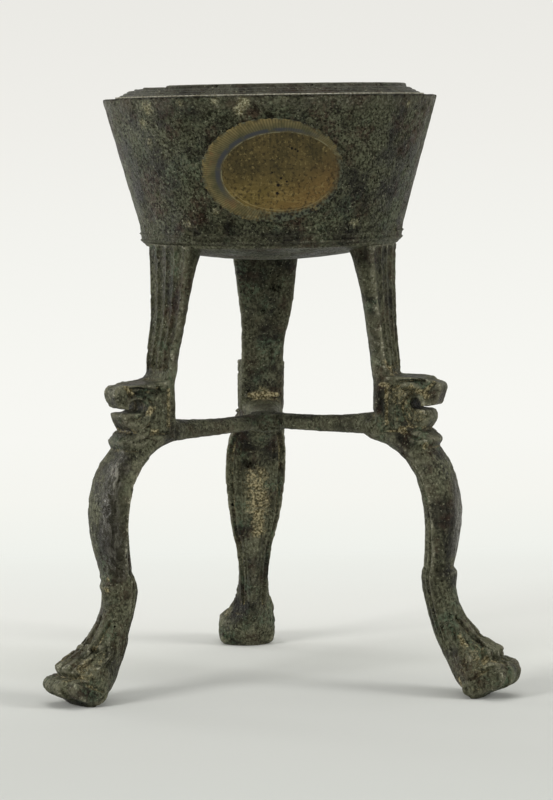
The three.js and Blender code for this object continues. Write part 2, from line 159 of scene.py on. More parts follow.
# Each row: height from foot to top, outer face from top radius to foot radius, depth, width
post_shares = [
    [0, 1, 0.52, 0.66], [0.16, 0.86, 0.5, 0.65], [0.28, 1.35, 0.72, 0.65], [0.3, 1.05, 0.61, 0.64],
    [0.33, 0.66, 0.48, 0.63], [0.37, 0.53, 0.48, 0.63], [0.42, 0.44, 0.48, 0.64],
    [0.48, 0.34, 0.5, 0.665], [0.56, 0.21, 0.53, 0.715], [0.64, 0.12, 0.58, 0.765],
    [0.72, 0.06, 0.65, 0.82], [0.82, -0.02, 0.76, 0.89], [0.91, -0.05, 0.9, 0.96],
    [0.97, -0.02, 1.06, 0.99], [1.0, 0.0, 1.15, 1.0],
]
post_points = 32
post_flat_share = 0.4
flute_count = 4
flute_depth = 0.5
flute_heights = (70.2, 73, 78, 85, 91, 94.2)
flute_spread_share = 0.88
flute_width_share = 0.95

# The limb under it. Each row: height, place along the spread, depth, width
leg_top = 54.7
leg_root_radius = 30.1
leg_spread = 18.0
leg_depth = 6.6
leg_width = 12.8
leg_shares = [
    [0, 1, 0.66, 0.74], [0.02, 1.02, 1.05, 0.89], [0.06, 1.02, 1.45, 0.97],
    [0.12, 0.99, 1.72, 0.96], [0.16, 0.94, 1.86, 0.89], [0.185, 0.91, 1.88, 0.81],
    [0.215, 0.83, 1.68, 0.72], [0.25, 0.745, 1.45, 0.64], [0.305, 0.645, 1.22, 0.56],
    [0.36, 0.58, 1.09, 0.53], [0.415, 0.545, 1.08, 0.55], [0.45, 0.545, 1.12, 0.6],
    [0.478, 0.55, 1.08, 0.65], [0.495, 0.535, 0.86, 0.655], [0.56, 0.565, 0.88, 0.77],
    [0.65, 0.595, 0.96, 0.91], [0.72, 0.6, 1, 0.98], [0.775, 0.58, 1, 1], [0.85, 0.52, 1.02, 0.99],
    [0.91, 0.41, 1.17, 0.96], [0.942, 0.31, 1.27, 0.93], [0.968, 0.212, 1.54, 0.9],
    [0.978, 0.161, 1.79, 0.89], [0.989, 0.1, 2.08, 0.88], [1.02, -0.014, 2.32, 0.83],
]
limb_inner_share = 0.55
limb_flat_share = 0.85

# The toes
toe_count = 4
toe_bevel = 0.8
toe_pitch = 2.65
toe_width = 3.3
toe_tip = 57.2
toe_round = 0.075  # how fast the outer toes fall back
# Side outline of a toe: distance from its tip, height
toe_outline = [
    (-9.8, 1.2), (-8.4, 0.3), (-5.2, 1.1), (-1.9, 2.35), (-0.5, 3.2), (0.0, 5.6), (-0.5, 7.1),
    (-1.7, 7.9), (-3.6, 8.2), (-8.0, 7.0),
]
toe_sole = 4.0
# What lies over the sole stands this share of the outline's height
toe_height = {"left": 0.76, "right": 1.0, "rear": 1.0}

# The beast's head: side outlines from the throat line at the upright's face, worked by hand
head_face = post_foot_radius
head_throat = 56.5
head_width = 10.3
head_bevel = 0.7
head_outlines = {
    "left": [
        (-1.0, 0.0), (6.4, 0.0), (7.5, 0.8), (8.4, 1.7), (9.1, 2.8), (9.5, 3.8), (9.3, 4.5),
        (10.2, 6.1), (10.9, 6.7), (11.3, 8.2), (11.0, 9.3), (10.0, 10.0), (8.0, 10.0), (6.2, 10.2),
        (0.6, 10.6), (-1.0, 11.0),
    ],
    "right": [
        (-1.0, 0.0), (6.7, 0.0), (7.6, 0.6), (8.3, 1.5), (8.7, 2.6), (8.5, 3.6), (8.0, 4.1),
        (9.4, 5.1), (10.0, 6.0), (10.8, 8.8), (10.6, 9.8), (9.6, 10.3), (8.1, 10.5), (6.8, 11.1),
        (3.7, 11.3), (-1.0, 11.3),
    ],
}
head_outlines["rear"] = head_outlines["right"]
# Half width along the head: distance from the face, share of the full width
head_taper = [(0, 1), (5.8, 0.97), (7.0, 0.76), (8.0, 0.56), (9.4, 0.47), (11.2, 0.4)]
# The open mouth: middle of the round hollow at its end, half long and half high, then the slit
# that leads to it, lower and upper
mouths = {
    "left": ((6.2, 5.6), (1.9, 1.5), 4.35, 6.25),
    "right": ((5.6, 5.6), (1.1, 1.2), 3.7, 5.65),
}
mouths["rear"] = mouths["right"]
mouth_arc = range(270, -40, -20)
mouth_reach = 13.0

# The ruff under the jaw
ruff_back = 2.5  # where it starts, from the upright's face
# Each row: height, reach from that face, width
ruff_rows = [
    (52.3, 8.4, 9.8), (53.1, 9.5, 11.0), (53.9, 10.0, 11.6), (54.6, 10.1, 11.8), (55.2, 9.5, 11.5),
    (55.8, 8.4, 11.0), (56.4, 7.2, 10.2), (57.2, 6.2, 9.0),
]

# Chased lines on both sides of a head: points (out, up, half width), then depth and crispness
head_lines = [
    ([(39.2, 67.2, 0.6), (38.0, 65.6, 0.5), (37.5, 64.2, 0.45)], 0.6, True),
    ([(37.0, 66.9, 0.3), (34.4, 67.0, 0.35), (31.6, 66.7, 0.3)], 0.5, True),
    ([(36.4, 65.6, 0.5), (34.4, 66.1, 0.65), (32.4, 66.0, 0.4)], -0.5, True),
    ([(36.2, 64.6, 0.3), (34.6, 64.9, 0.35), (31.6, 64.8, 0.35)], 0.3, True),
    ([(31.7, 65.8, 0.6), (30.4, 65.0, 0.7)], 0.8, False),
    ([(33.6, 63.9, 0.7), (33.2, 63.8, 0.7)], -0.4, True),
    (
        [(34.6, 64.3, 0.3), (33.0, 62.8, 0.4), (32.6, 61.0, 0.4), (33.2, 59.0, 0.4), (34.6, 57.6, 0.3)],
        0.5,
        True,
    ),
    ([(31.6, 63.6, 0.3), (31.0, 61.0, 0.35), (31.6, 58.4, 0.3)], 0.35, False),
    ([(38.0, 59.3, 0.3), (35.7, 59.6, 0.35), (34.6, 61.0, 0.3)], 0.4, False),
    ([(29.5, 66.0, 0.25), (29.4, 61.0, 0.3), (29.5, 57.0, 0.25)], 0.45, True),
    ([(38.0, 54.9, 0.15), (37.0, 54.9, 0.4), (35.3, 55.4, 0.4), (33.6, 56.3, 0.3)], 0.6, True),
    ([(37.6, 55.8, 0.2), (36.0, 56.0, 0.45)], -0.35, True),
]

# Tendons over the paw: the hollows between them
paw_lines = [
    ([(48.8, 16.6, 0.2), (51.0, 12.4, 0.5), (53.6, 9.2, 0.6)], 0.5, True),
    ([(47.4, 15.6, 0.2), (49.8, 11.0, 0.5), (51.4, 8.0, 0.6)], 0.45, True),
    ([(44.2, 14.6, 0.2), (46.3, 9.8, 0.45), (48.1, 6.6, 0.5)], 0.45, True),
    ([(48.2, 15.6, 0.3), (51.6, 9.6, 0.45)], -0.4, True),
    ([(45.8, 14.0, 0.3), (48.8, 8.0, 0.45)], -0.4, True),
]
toe_groove = [(54.8, 8.4, 0.5), (52.4, 6.6, 0.45), (49.0, 4.2, 0.4)]
toe_groove_depth = 0.5
# On the front of the shin and paw: (across, up, half width), depth and crispness
front_lines = [
    ([(-2.4, 17.0, 0.3), (-2.7, 8.4, 0.7)], 0.75, True),
    ([(0.0, 18.0, 0.3), (0.0, 8.4, 0.7)], 0.65, True),
    ([(2.4, 17.0, 0.3), (2.7, 8.4, 0.7)], 0.75, True),
    ([(-4.2, 14.4, 0.2), (-4.6, 8.6, 0.45)], 0.6, True),
    ([(4.2, 14.4, 0.2), (4.6, 8.6, 0.45)], 0.6, True),
]
# Lines that follow the limb's inner edge: how far in, half width, depth
inner_lines = [(2.3, 0.4, 0.55), (3.2, 0.35, -0.3), (1.2, 0.25, 0.2)]
inner_run = slice(5, -4)  # the rows of the limb's table that they follow
# On the rear leg's inner face, over the arm: a ledge of solder
ledge_line = [(-3.2, 60.2, 0.7), (3.2, 60.2, 0.7)]
ledge_rise = 0.6
# The same leg's head has no brow ridge on its left side
flat_brow = [(36.4, 65.6, 0.5), (34.4, 66.1, 0.65), (32.4, 66.0, 0.4)]
flat_brow_depth = 0.5
# A dewclaw on the left leg: middle and radius
dewclaw = ((42.3, 1.3, 24.8), 1.15)

# How each leg differs from the others, being worked by hand. Each row: height, then how far the
# inner and the outer side stand out from the common form
leg_set = {
    "left": [
        [0, 0.2, 0], [1.2, -0.2, -0.3], [3, -2.3, -0.7], [5.5, -2.8, -0.8], [6.8, -2.75, 0.2],
        [8.2, -2.65, 0.9], [8.9, -2.6, 0.0], [9.6, -2.5, -1.3], [10.4, -2.45, -2.5],
        [11.3, -2.35, -2.7], [11.9, -2.3, -2.3], [13.3, -1.9, -1.9], [15.2, -1.75, -1.7],
        [17.3, -1.9, -1.5], [20.7, -2.0, -1.1], [22.0, -2.0, -0.95], [22.7, -1.9, -0.8],
        [24.1, -1.6, -0.4], [25.4, -1.1, -1.1], [26.4, -0.8, -0.55], [27.1, -0.75, 0.15],
        [28, -0.75, 0.25], [33, -0.5, 0.7], [37, -0.1, 0.5], [50, 0, 0.5], [54, 0.5, 0.3],
        [58, 0.7, 0.5], [67, 0.8, 0.5], [69, 0.8, 0.7], [71, 0.8, 1.1], [74, 0.8, 1.0],
        [80, 0.9, 0.3], [88, 1.2, 0.25], [95, 1.0, 0.25],
    ],
    "right": [
        [0, 1.4, 0], [1.2, 0.9, 0], [2.4, 0.2, 0.2], [5, -0.2, 0.6], [8.2, -0.25, 0.8],
        [10.3, -0.3, 1.5], [12, -0.3, 0.1], [14, -0.3, 0.3], [16, -0.2, 0], [24, -0.4, -0.1],
        [30, -0.7, 0.2], [36, -0.9, 0.1], [41, -1.3, 0], [46, -1.5, 0], [52, -1.4, 0.4],
        [56, -0.9, 0.3], [60, -0.4, 0.3], [67, -0.4, 0.6], [69, -0.4, 1.2], [71, -0.3, 1.5],
        [74, -0.2, 1.3], [80, 0.2, 1.2], [88, 0.7, 1.1], [95, 0.9, 1.1],
    ],
    "rear": [[0, -1.6, 0], [4, -1.4, 0], [10, 0, 0], [95, 0, 0]],
}
# The same across a leg. Each row: height, then the side at +Y and the side at -Y
side_set = {
    "rear": [
        [1.6, 0.8, 0.4], [5.7, 0.45, 0.25], [7.6, -1.4, 0.1], [10.4, -1.9, 0.1], [12.3, -1.4, 0.1],
        [17, -0.7, 0.35], [21.6, 0, 0.55], [26, 0.35, 0.6], [31, 0.2, 0.9], [35.5, 0.1, 0.7],
        [44.6, 0.25, 0.55], [49, 0.25, 0.45], [55, -0.4, 0], [56.4, -0.3, 0], [57.4, 0.2, 0],
        [66, 0.2, -0.1], [73, 0.3, -0.1], [77, 0.1, 0.35], [82, 0.25, 0.55], [90, 0.55, 0],
    ],
}
side_reach = 4.0  # the whole of such a shift is taken up by this distance from the leg's middle
arm_free = (10.0, 24.0)  # the leg's own form fades along the arm between these distances
arm_overlap = 2.0  # how far inside the second of them the leg's inner side is looked for
nowhere = 1000.0  # further out than any leg

# The arm
arm_drop = {"left": -0.6, "right": 0.35, "rear": 0.0}  # how far its root sits from the common height
arm_flat_share = 0.6
arm_thickness = 3.5
arm_width = 4.8
# Each row: distance from the hub's axis, height of the middle over the arm's own, height, width
arm_shares = [
    [0, 0.1, 0.95, 0.9], [0.12, 0.08, 0.98, 0.95], [0.3, 0.02, 0.95, 0.98], [0.5, -0.02, 1.0, 1.0],
    [0.7, 0.0, 1.08, 1.1], [0.85, 0.04, 1.2, 1.35], [1.0, 0.1, 1.4, 1.85], [1.1, 0.3, 1.0, 1.7],
]

# The lump at the hub: a ball joined with a slab
hub_step = 0.6
hub_slab_share = 0.8
slab_points = 20

# Camera at the photograph's viewing angle
axis_px = 267.3
pixels_per_mm = 4.625
camera_distance = 673.0
camera_height = 120.4
camera_turn = math.radians(-7.0)
horizon_px = 127.0
photo_width = 553
photo_height = 800
sensor = 36.0
camera_clip = (0.01, 20)

# Grain of the remeshed castings, and how much the steps it leaves are smoothed
voxel = 0.28
voxel_smoothing = 0.5
# Rounds of smoothing that tell where a skin lies hollow
hollow_rounds = {"casting": 40, "plate": 10, "hub": 12}
# Cast skins: size and height of the swells, then how many pits, their radii and their depth
skins = {
    "leg": (1.4, 0.22, 260, (0.35, 0.9), 0.22),
    "cup": (2.2, 0.25, 1100, (0.4, 1.1), 0.28),
    "plate": (1.6, 0.2, 0, (), 0),
    "collar": (1.6, 0.08, 0, (), 0),
    "hub": (0.8, 0.7, 60, (0.4, 0.9), 0.3),
}
cup_draw = 11  # which chance draw sets the pits
hub_draw = 5

# The paper label
label_width = 30.3
label_height = 21.4
label_middle = 111.5
label_azimuth = 263.8
label_cells = (150, 110)
# The printed field inside it: half width, half height, and how far it sits off the middle
field_half = (12.6, 8.34)
field_shift = (1.9, -0.47)
label_pits = [
    (4.0, 4.5, 0.4), (4.7, 4.3, 0.3), (5.2, 3.9, 0.3), (-6.6, 2.3, 0.2), (-0.1, -0.4, 0.3),
    (1.7, -1.6, 0.36), (2.9, -2.3, 0.34), (1.1, -3.0, 0.5), (0.9, -4.7, 0.45), (8.2, -8.0, 0.3),
]
hatch_lines = 165

# Fraying of its edge: waves round the edge, share of the radius
label_fray = [(5, 0.006), (11, 0.006), (23, 0.005), (47, 0.004), (61, 0.004)]
label_lift = 0.2
label_thickness = 0.16

# Where soil still clings to a leg's sides, in its own frame: a line's two ends, radius, amount
side_soil = [
    ((29.6, 4.9, 65.6), (29.6, 4.9, 57.6), 0.6, 0.7),
    ((37.2, 2.8, 57.2), (32.5, 4.8, 56.7), 0.9, 0.75),
    ((38.9, 1.6, 66.9), (37.7, 3.4, 64.6), 0.8, 0.8),
    ((34.6, 4.8, 60.9), (33.6, 4.8, 61.6), 1.1, 0.85),
    ((52.0, 4.0, 8.6), (50.6, 4.6, 6.8), 1.2, 0.6),
    ((50.0, 4.2, 12.0), (50.6, 4.6, 7.0), 2.6, 0.42),
    ((47.2, 4.6, 11.0), (47.6, 4.6, 6.0), 1.8, 0.36),
]
top_soil = [
    ((26.0, 0, 60.9), (23.8, 0, 60.6), 2.0, 0.6), ((30.6, -4, 69.8), (30.6, 4, 69.8), 2.0, 0.42),
]
own_soil = {
    "left": [
        ((54.6, 2.4, 6.6), (53.6, 3.2, 6.5), 1.2, 0.85),
        ((51.4, 4.4, 6.4), (50.6, 4.6, 5.0), 0.9, 0.9),
        ((42.6, 1.2, 25.9), (43.4, 0.6, 25.8), 0.7, 0.9),
        ((42.8, 1.2, 23.7), (43.4, 0.6, 23.8), 0.7, 0.9),
    ],
    "right": [
        ((45.9, -4.4, 13.2), (47.6, -4.4, 10.9), 0.9, 0.9),
        ((54.0, -3.6, 8.0), (49.5, -4.8, 5.6), 1.2, 0.8),
        ((45.9, -4.0, 4.2), (46.6, -4.0, 2.6), 0.9, 0.8),
        ((49.8, -4.8, 2.6), (50.6, -4.8, 2.8), 1.2, 0.65),
        ((38.2, -4.6, 53.3), (41.0, -4.2, 53.4), 1.1, 0.85),
        ((32.0, -5.0, 64.5), (36.5, -4.8, 60.2), 3.4, 0.45),
        ((28.2, -4.9, 66.1), (29.9, -4.9, 66.0), 0.7, 0.9),
        ((32.6, -4.9, 63.9), (35.2, -4.9, 65.8), 0.7, 0.75),
        ((36.0, -4.0, 65.2), (38.0, -3.0, 63.8), 1.0, 0.8),
        ((32.4, -4.9, 56.6), (33.6, -4.9, 56.2), 0.9, 0.8),
        ((29.4, -4.0, 70.8), (29.9, -2.0, 68.8), 1.2, 0.7),
    ],
    "rear": [
        ((25.5, 3.0, 60.4), (25.5, -3.2, 60.4), 0.9, 1.1),
        ((25.7, 1.6, 58.9), (25.7, -1.6, 58.9), 1.6, 0.6),
        ((37.4, -0.2, 40.0), (37.6, -0.8, 33.6), 4.0, 0.66),
        ((37.6, -0.6, 33.6), (37.0, -1.1, 28.0), 2.4, 0.72),
    ],
}
# Black, in the depth of each mouth as painted shade, and black crust in two holes of the rear leg's skin
mouth_painted_shade = (3.4, 1.9, 0.6)  # how far out to each side of the head's middle, radius, amount
own_crust = {
    "rear": [
        ((36.4, 3.7, 46.3), (36.4, 3.5, 45.9), 1.3, 0.9),
        ((36.8, 2.9, 43.5), (36.8, 1.9, 43.1), 1.4, 0.95),
        ((22.0, -1.6, 84.6), (22.0, -2.6, 84.2), 1.6, 0.7),
        ((23.0, 0.4, 79.4), (23.0, 1.4, 79.0), 1.4, 0.6),
        ((24.6, -1.4, 70.4), (24.8, -1.8, 67.6), 1.2, 0.6),
    ],
}
# Where handling has polished a leg, along its calf: smoother, glossier and darker there, and where the
# polish runs strongest, pale streaks painted on as a highlight
calf_wear_and_highlight = {
    "left": [
        ((42.6, 3.6, 52.4), (46.2, 4.6, 44.0), 4.6, 1.0),
        ((46.2, 4.6, 44.0), (43.0, 4.6, 28.0), 4.4, 0.65),
    ],
    "right": [((45.6, 0.6, 46.0), (44.6, 0.6, 32.0), 4.2, 0.7)],
    "rear": [],
}
# On the cup, in its own frame: azimuth, height, radius of the patch, amount
cup_spots = [
    (217.0, 124.6, 2.2, 0.8), (213.0, 121.5, 1.6, 0.6), (214.0, 117.6, 1.3, 0.5),
    (254.4, 125.4, 1.9, 0.95), (252.6, 123.9, 1.5, 0.9), (245, 125.8, 1.3, 0.7),
    (232, 125.6, 1.3, 0.6), (268, 126.0, 1.2, 0.5), (240, 103, 1.1, 0.75), (225, 100.6, 1.6, 0.55),
    (300, 100.4, 1.6, 0.5), (318, 124.6, 1.6, 0.5),
]
# Dark by depth under the rim: a black line along the rim's top, painted shade of the gap under the mouth
# ring, then a weak stain, then one more on the foot band
rim_shade_and_stain = [(0.1, 0.6), (0.5, 0.3), (3.0, 0.26), (5.5, 0), (26.5, 0), (27.6, 0.22), (34, 0.22)]
cup_crust = [
    (263, 123.6, 2.6, 0.5), (268, 124.4, 2.4, 0.4), (285, 124.0, 3.0, 0.4), (291, 121.0, 3.0, 0.34),
    (248, 122.0, 3.0, 0.4), (242, 116.6, 2.6, 0.42), (233, 116.0, 1.8, 0.36),
    (261, 100.6, 2.6, 0.36), (314, 123.0, 3.6, 0.32), (298, 110.0, 4.0, 0.26),
    (222, 108.0, 4.0, 0.26), (236, 104.0, 3.4, 0.28),
]


def select_only(piece):
    """Leaves nothing selected but this piece."""
    bpy.ops.object.select_all(action="DESELECT")
    piece.select_set(True)
    bpy.context.view_layer.objects.active = piece


def started(primitive, **settings):
    """A new mesh from one of Blender's primitives, selected by itself."""
    bpy.ops.object.select_all(action="DESELECT")
    primitive(**settings)
    return bpy.context.object


def applied(piece):
    """Makes a piece's place, turn and size part of its mesh."""
    select_only(piece)
    bpy.ops.object.transform_apply(location=True, rotation=True, scale=True)
    return piece


def modified(piece, kind, **settings):
    """Adds a modifier, sets it and applies it."""
    select_only(piece)
    modifier = piece.modifiers.new(kind.lower(), kind)
    for name, value in settings.items():
        setattr(modifier, name, value)
    bpy.ops.object.modifier_apply(modifier=modifier.name)
    return piece


def joined(pieces):
    """Makes one object of several, which a remesh then welds."""
    select_only(pieces[0])
    for piece in pieces:
        piece.select_set(True)
    bpy.ops.object.join()
    return modified(bpy.context.object, "REMESH", mode="VOXEL", voxel_size=voxel)


def closed():
    """Turns every face of the mesh in edit mode outwards and leaves edit mode."""
    bpy.ops.mesh.select_all(action="SELECT")
    bpy.ops.mesh.remove_doubles(threshold=weld)
    bpy.ops.mesh.normals_make_consistent(inside=False)
    bpy.ops.object.mode_set(mode="OBJECT")


def lofted(rings, points=20, inner_share=1.0, flat_share=1.0):
    """A closed body through level ovals, each (middle x, depth, width, height).

    The side towards the axis narrows to inner_share; flat_share under 1 squares the other.
    """
    x, depth, width, height = rings[0]
    circle = bpy.ops.mesh.primitive_circle_add
    piece = started(circle, vertices=points, radius=0.5, fill_type="NGON", location=(x, 0, height))
    for vertex in piece.data.vertices:
        x_share, y_share = 2 * vertex.co.x, 2 * vertex.co.y
        if x_share < 0:
            vertex.co.y *= 1 + x_share * (1 - inner_share)
        else:
            vertex.co.x = abs(x_share) ** flat_share / 2
            vertex.co.y = math.copysign(abs(y_share) ** flat_share, y_share) / 2
    piece.scale = (depth, width, 1)
    applied(piece)
    bpy.ops.object.mode_set(mode="EDIT")
    for low, high in zip(rings, rings[1:]):
        move = (high[0] - low[0], 0, high[3] - low[3])
        growth = (high[1] / low[1], high[2] / low[2], 1)
        bpy.ops.mesh.extrude_region_move(TRANSFORM_OT_translate={"value": move})
        bpy.ops.transform.resize(value=growth, center_override=(high[0], 0, high[3]))
    closed()
    return piece


def outlined(outline, thickness, bevel):
    """A slab from a side outline of (x, z) points, with its edges rounded."""
    circle = bpy.ops.mesh.primitive_circle_add
    piece = started(circle, vertices=len(outline), radius=1, fill_type="NGON")
    for vertex, (x, z) in zip(piece.data.vertices, outline):
        vertex.co = (x, -thickness / 2, z)
    bpy.ops.object.mode_set(mode="EDIT")
    bpy.ops.mesh.extrude_region_move(TRANSFORM_OT_translate={"value": (0, thickness, 0)})
    closed()
    if bevel:
        modified(piece, "BEVEL", width=bevel, segments=2, limit_method="ANGLE")
    return piece


def ball(middle, size):
    """An ellipsoid of a size."""
    sphere = bpy.ops.mesh.primitive_uv_sphere_add
    piece = started(sphere, segments=16, ring_count=10, radius=0.5, location=middle)
    piece.scale = size
    return applied(piece)


def cut(piece, tool):
    """Takes the tool's shape out of the piece."""
    modified(piece, "BOOLEAN", operation="DIFFERENCE", object=tool, solver="EXACT")
    bpy.data.objects.remove(tool)
    return piece


def read_skin(piece):
    """Places and normals of a piece's points."""
    count = len(piece.data.vertices)
    places = np.empty(count * 3)
    normals = np.empty(count * 3)
    piece.data.vertices.foreach_get("co", places)
    piece.data.vertex_normals.foreach_get("vector", normals)
    return places.reshape(-1, 3), normals.reshape(-1, 3)


def write_skin(piece, places):
    piece.data.vertices.foreach_set("co", places.ravel())
    piece.data.update()


def stroked(piece, path, depth, across, side=0, crisp=False):
    """Presses a line into the skin, as a chaser's punch does; a negative depth raises it.

    The path's points (u, v, half width) are drawn square to the axis called across, on faces
    that look along it: side 1 or -1 for one side of the piece, 0 for both.
    """
    places, normals = read_skin(piece)
    flat = np.delete(places, across, axis=1)
    facing = normals[:, across]
    facing = np.abs(facing) if side == 0 else facing * side
    weight = np.clip(facing * press_slope, 0, 1)
    press = np.zeros(len(places))
    for (u0, v0, w0), (u1, v1, w1) in zip(path, path[1:]):
        start = np.array((u0, v0))
        run = np.array((u1 - u0, v1 - v0))
        share = np.clip((flat - start) @ run / (run @ run), 0, 1)
        gap = np.linalg.norm(flat - start - share[:, None] * run, axis=1)
        ratio = np.clip(gap / (w0 + share * (w1 - w0)), 0, 1) ** 2
        form = np.sqrt(1 - ratio) if crisp else (1 - ratio) ** 2
        press = np.maximum(press, form)
    write_skin(piece, places - normals * (depth * press * weight)[:, None])
    return piece


def weathered(piece, skin, draw=0):
    """Uneven cast skin of soft noise, then corrosion pits of mixed sizes at chance places."""
    size, strength, count, radii, depth = skins[skin]
    texture = bpy.data.textures.new("cast_skin", "CLOUDS")
    texture.noise_scale = size
    texture.noise_depth = 3
    modified(piece, "DISPLACE", texture=texture, strength=strength, texture_coords="LOCAL")
    if not count:
        return piece
    places, normals = read_skin(piece)
    chance = np.random.default_rng(draw)
    tree = KDTree(len(places))
    for index, place in enumerate(places):
        tree.insert(place, index)
    tree.balance()
    press = np.zeros(len(places))
    least, greatest = radii
    for index in chance.integers(0, len(places), count):
        radius = least + (greatest - least) * chance.random() ** pit_power
        for _, near, gap in tree.find_range(places[index], radius):
            press[near] = max(press[near], depth * radius / greatest * (1 - (gap / radius) ** 2))
    write_skin(piece, places - normals * press[:, None])
    return piece


def hollows(piece, rounds):
    """Keeps, for the material, how far each point lies under its smoothed surroundings, in mm."""
    places, normals = read_skin(piece)
    edges = np.empty(len(piece.data.edges) * 2, int)
    piece.data.edges.foreach_get("vertices", edges)
    first, second = edges.reshape(-1, 2).T
    ways = ((first, second), (second, first))
    count = len(places)
    near = sum(np.bincount(here, minlength=count) for here, _ in ways)
    smooth = places
    for _ in range(rounds):
        total = [
            sum(np.bincount(here, smooth[there, axis], count) for here, there in ways)
            for axis in range(3)
        ]
        smooth = np.stack(total, axis=1) / near[:, None]
    keep_values(piece, "hollow", ((smooth - places) * normals).sum(axis=1))
    return piece


def keep_values(piece, name, values):
    """Keeps one number for each point of the mesh under a name that a material reads."""
    attribute = piece.data.attributes.get(name) or piece.data.attributes.new(name, "FLOAT", "POINT")
    attribute.data.foreach_set("value", np.asarray(values, dtype=np.float32))


def marks(places, lines):
    """How strongly points are marked by lines (start, end, radius, amount) in the same frame."""
    mark = np.zeros(len(places))
    for start, end, radius, amount in lines:
        start, run = np.array(start), np.array(end, float) - np.array(start)
        share = np.clip((places - start) @ run / (run @ run or 1), 0, 1)
        gap = np.linalg.norm(places - start - share[:, None] * run, axis=1) / radius
        mark = np.maximum(mark, amount * np.clip(1 - gap**2, 0, 1))
    return mark


def both_sides(lines):
    """Marks for one side of a leg, and the same for the other."""
    for (x0, y0, z0), (x1, y1, z1), radius, amount in lines:
        yield (x0, y0, z0), (x1, y1, z1), radius, amount
        yield (x0, -y0, z0), (x1, -y1, z1), radius, amount


def on_leg(piece, azimuth, lean):
    """Brings a piece from the leg's own frame to its place round the hub."""
    sheared = Matrix.Identity(4)
    sheared[1][2] = lean
    turned = Matrix.Rotation(math.radians(azimuth), 4, "Z")
    piece.data.transform(Matrix.Translation((hub_axis.x, hub_axis.y, 0)) @ turned @ sheared)
    return piece


def on_cup(piece):
    """Brings a piece from the cup's own frame, its axis at X 0, Y 0, to its leaning place."""
    sight = Vector((-math.sin(camera_turn), math.cos(camera_turn), 0))
    foot = Vector((0, 0, foot_height))
    lean = Matrix.Rotation(-cup_lean, 4, sight)
    leaned = Matrix.Translation(foot) @ lean @ Matrix.Translation(-foot)
    piece.data.transform(Matrix.Translation((cup_axis.x, cup_axis.y, 0)) @ leaned)
    return piece


def finished(piece, name, slot, finish, *nodes):
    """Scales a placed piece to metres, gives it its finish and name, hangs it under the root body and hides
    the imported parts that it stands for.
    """
    piece.data.materials.clear()
    piece.data.materials.append(finish)
    piece.scale = (MM, MM, MM)
    applied(piece)
    bpy.ops.object.shade_smooth()
    piece.name = name
    piece.data.name = name
    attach(piece, "root")
    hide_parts(*nodes)
    return piece


def limb():
    rings = []
    for height, spread, depth, width in leg_shares:
        middle = leg_root_radius + spread * leg_spread
        rings.append((middle, depth * leg_depth, width * leg_width, height * leg_top))
    return lofted(rings, inner_share=limb_inner_share, flat_share=limb_flat_share)


def upright():
    rise = post_top_height - post_bottom
    rings = []
    for height, out, depth, width in post_shares:
        outer = post_top_radius + out * (post_foot_radius - post_top_radius)
        thick = depth * post_top_depth
        rings.append((outer - thick / 2, thick, width * post_top_width, post_bottom + height * rise))
    return lofted(rings, points=post_points, flat_share=post_flat_share)


def toe_level(name, up):
    """Height on a leg's toes; only what lies over the sole differs from leg to leg."""
    return up * toe_height[name] if up > toe_sole else up


def toes(name):
    for index in range(toe_count):
        across = (index - (toe_count - 1) / 2) * toe_pitch
        tip = toe_tip - toe_round * across**2
        outline = [(tip + out, toe_level(name, up)) for out, up in toe_outline]
        toe = outlined(outline, toe_width, toe_bevel)
        toe.data.transform(Matrix.Translation((0, across, 0)))
        yield toe


def arm(name):
    """The arm is lofted upright and then laid down along the leg."""
    length = post_foot_radius - post_top_depth / 2
    rings = []
    for along, lift, tall, wide in arm_shares:
        middle = arm_bottom + (0.5 + lift) * arm_thickness + along * arm_drop[name]
        rings.append((-middle, tall * arm_thickness, wide * arm_width, along * length))
    piece = lofted(rings, flat_share=arm_flat_share)
    piece.rotation_euler = (0, math.pi / 2, 0)
    return applied(piece)


def on_head(points):
    """Points of a head's side outline, brought from its throat line to the leg's frame."""
    return [(head_face + out, head_throat + up) for out, up in points]


def head(name):
    piece = outlined(on_head(head_outlines[name]), head_width, head_bevel)
    distances, widths = zip(*head_taper)
    for vertex in piece.data.vertices:
        vertex.co.y *= float(np.interp(vertex.co.x - head_face, distances, widths))
    (out, up), (long, high), lower, upper = mouths[name]
    turns = [math.radians(angle) for angle in mouth_arc]
    arc = [(out + long * math.cos(turn), up + high * math.sin(turn)) for turn in turns]
    opening = [(mouth_reach, lower), *arc, (mouth_reach, upper)]
    return cut(piece, outlined(on_head(opening), head_width * 2, 0))


def ruff():
    rings = []
    for height, reach, width in ruff_rows:
        middle = post_foot_radius + (reach + ruff_back) / 2
        rings.append((middle, reach - ruff_back, width, height))
    return lofted(rings)


def set_by_hand(piece, rows, side_rows):
    """Moves the inner and outer side of a leg by its own table, fading out along the arm."""
    places, _ = read_skin(piece)
    out, up = places[:, 0], places[:, 2]
    # The inner and outer side at each millimetre of height
    slab = np.clip(up.astype(int), 0, None)
    body = out > arm_free[1] - arm_overlap
    count = slab.max() + 1
    inner, outer = np.full(count, nowhere), np.zeros(count)
    np.minimum.at(inner, slab[body], out[body])
    np.maximum.at(outer, slab[body], out[body])
    levels = np.arange(count) + 0.5
    outer = np.where(levels > head_throat, np.minimum(outer, head_face), outer)
    low, high = np.interp(up, levels, inner), np.interp(up, levels, outer)
    share = np.clip((out - low) / (high - low), 0, 1)
    heights, inner_set, outer_set = np.array(rows, float).T
    shift = np.interp(up, heights, inner_set) * (1 - share) + np.interp(up, heights, outer_set) * share
    fade = np.clip((out - arm_free[0]) / (arm_free[1] - arm_free[0]), 0, 1)
    places[:, 0] += shift * fade
    heights, *sides = np.array(side_rows, float).T
    for sign, shifts in zip((1, -1), sides):
        reach = np.clip(sign * places[:, 1] / side_reach, 0, 1)
        places[:, 1] += sign * np.interp(up, heights, shifts) * reach * fade
    write_skin(piece, places)
    return piece


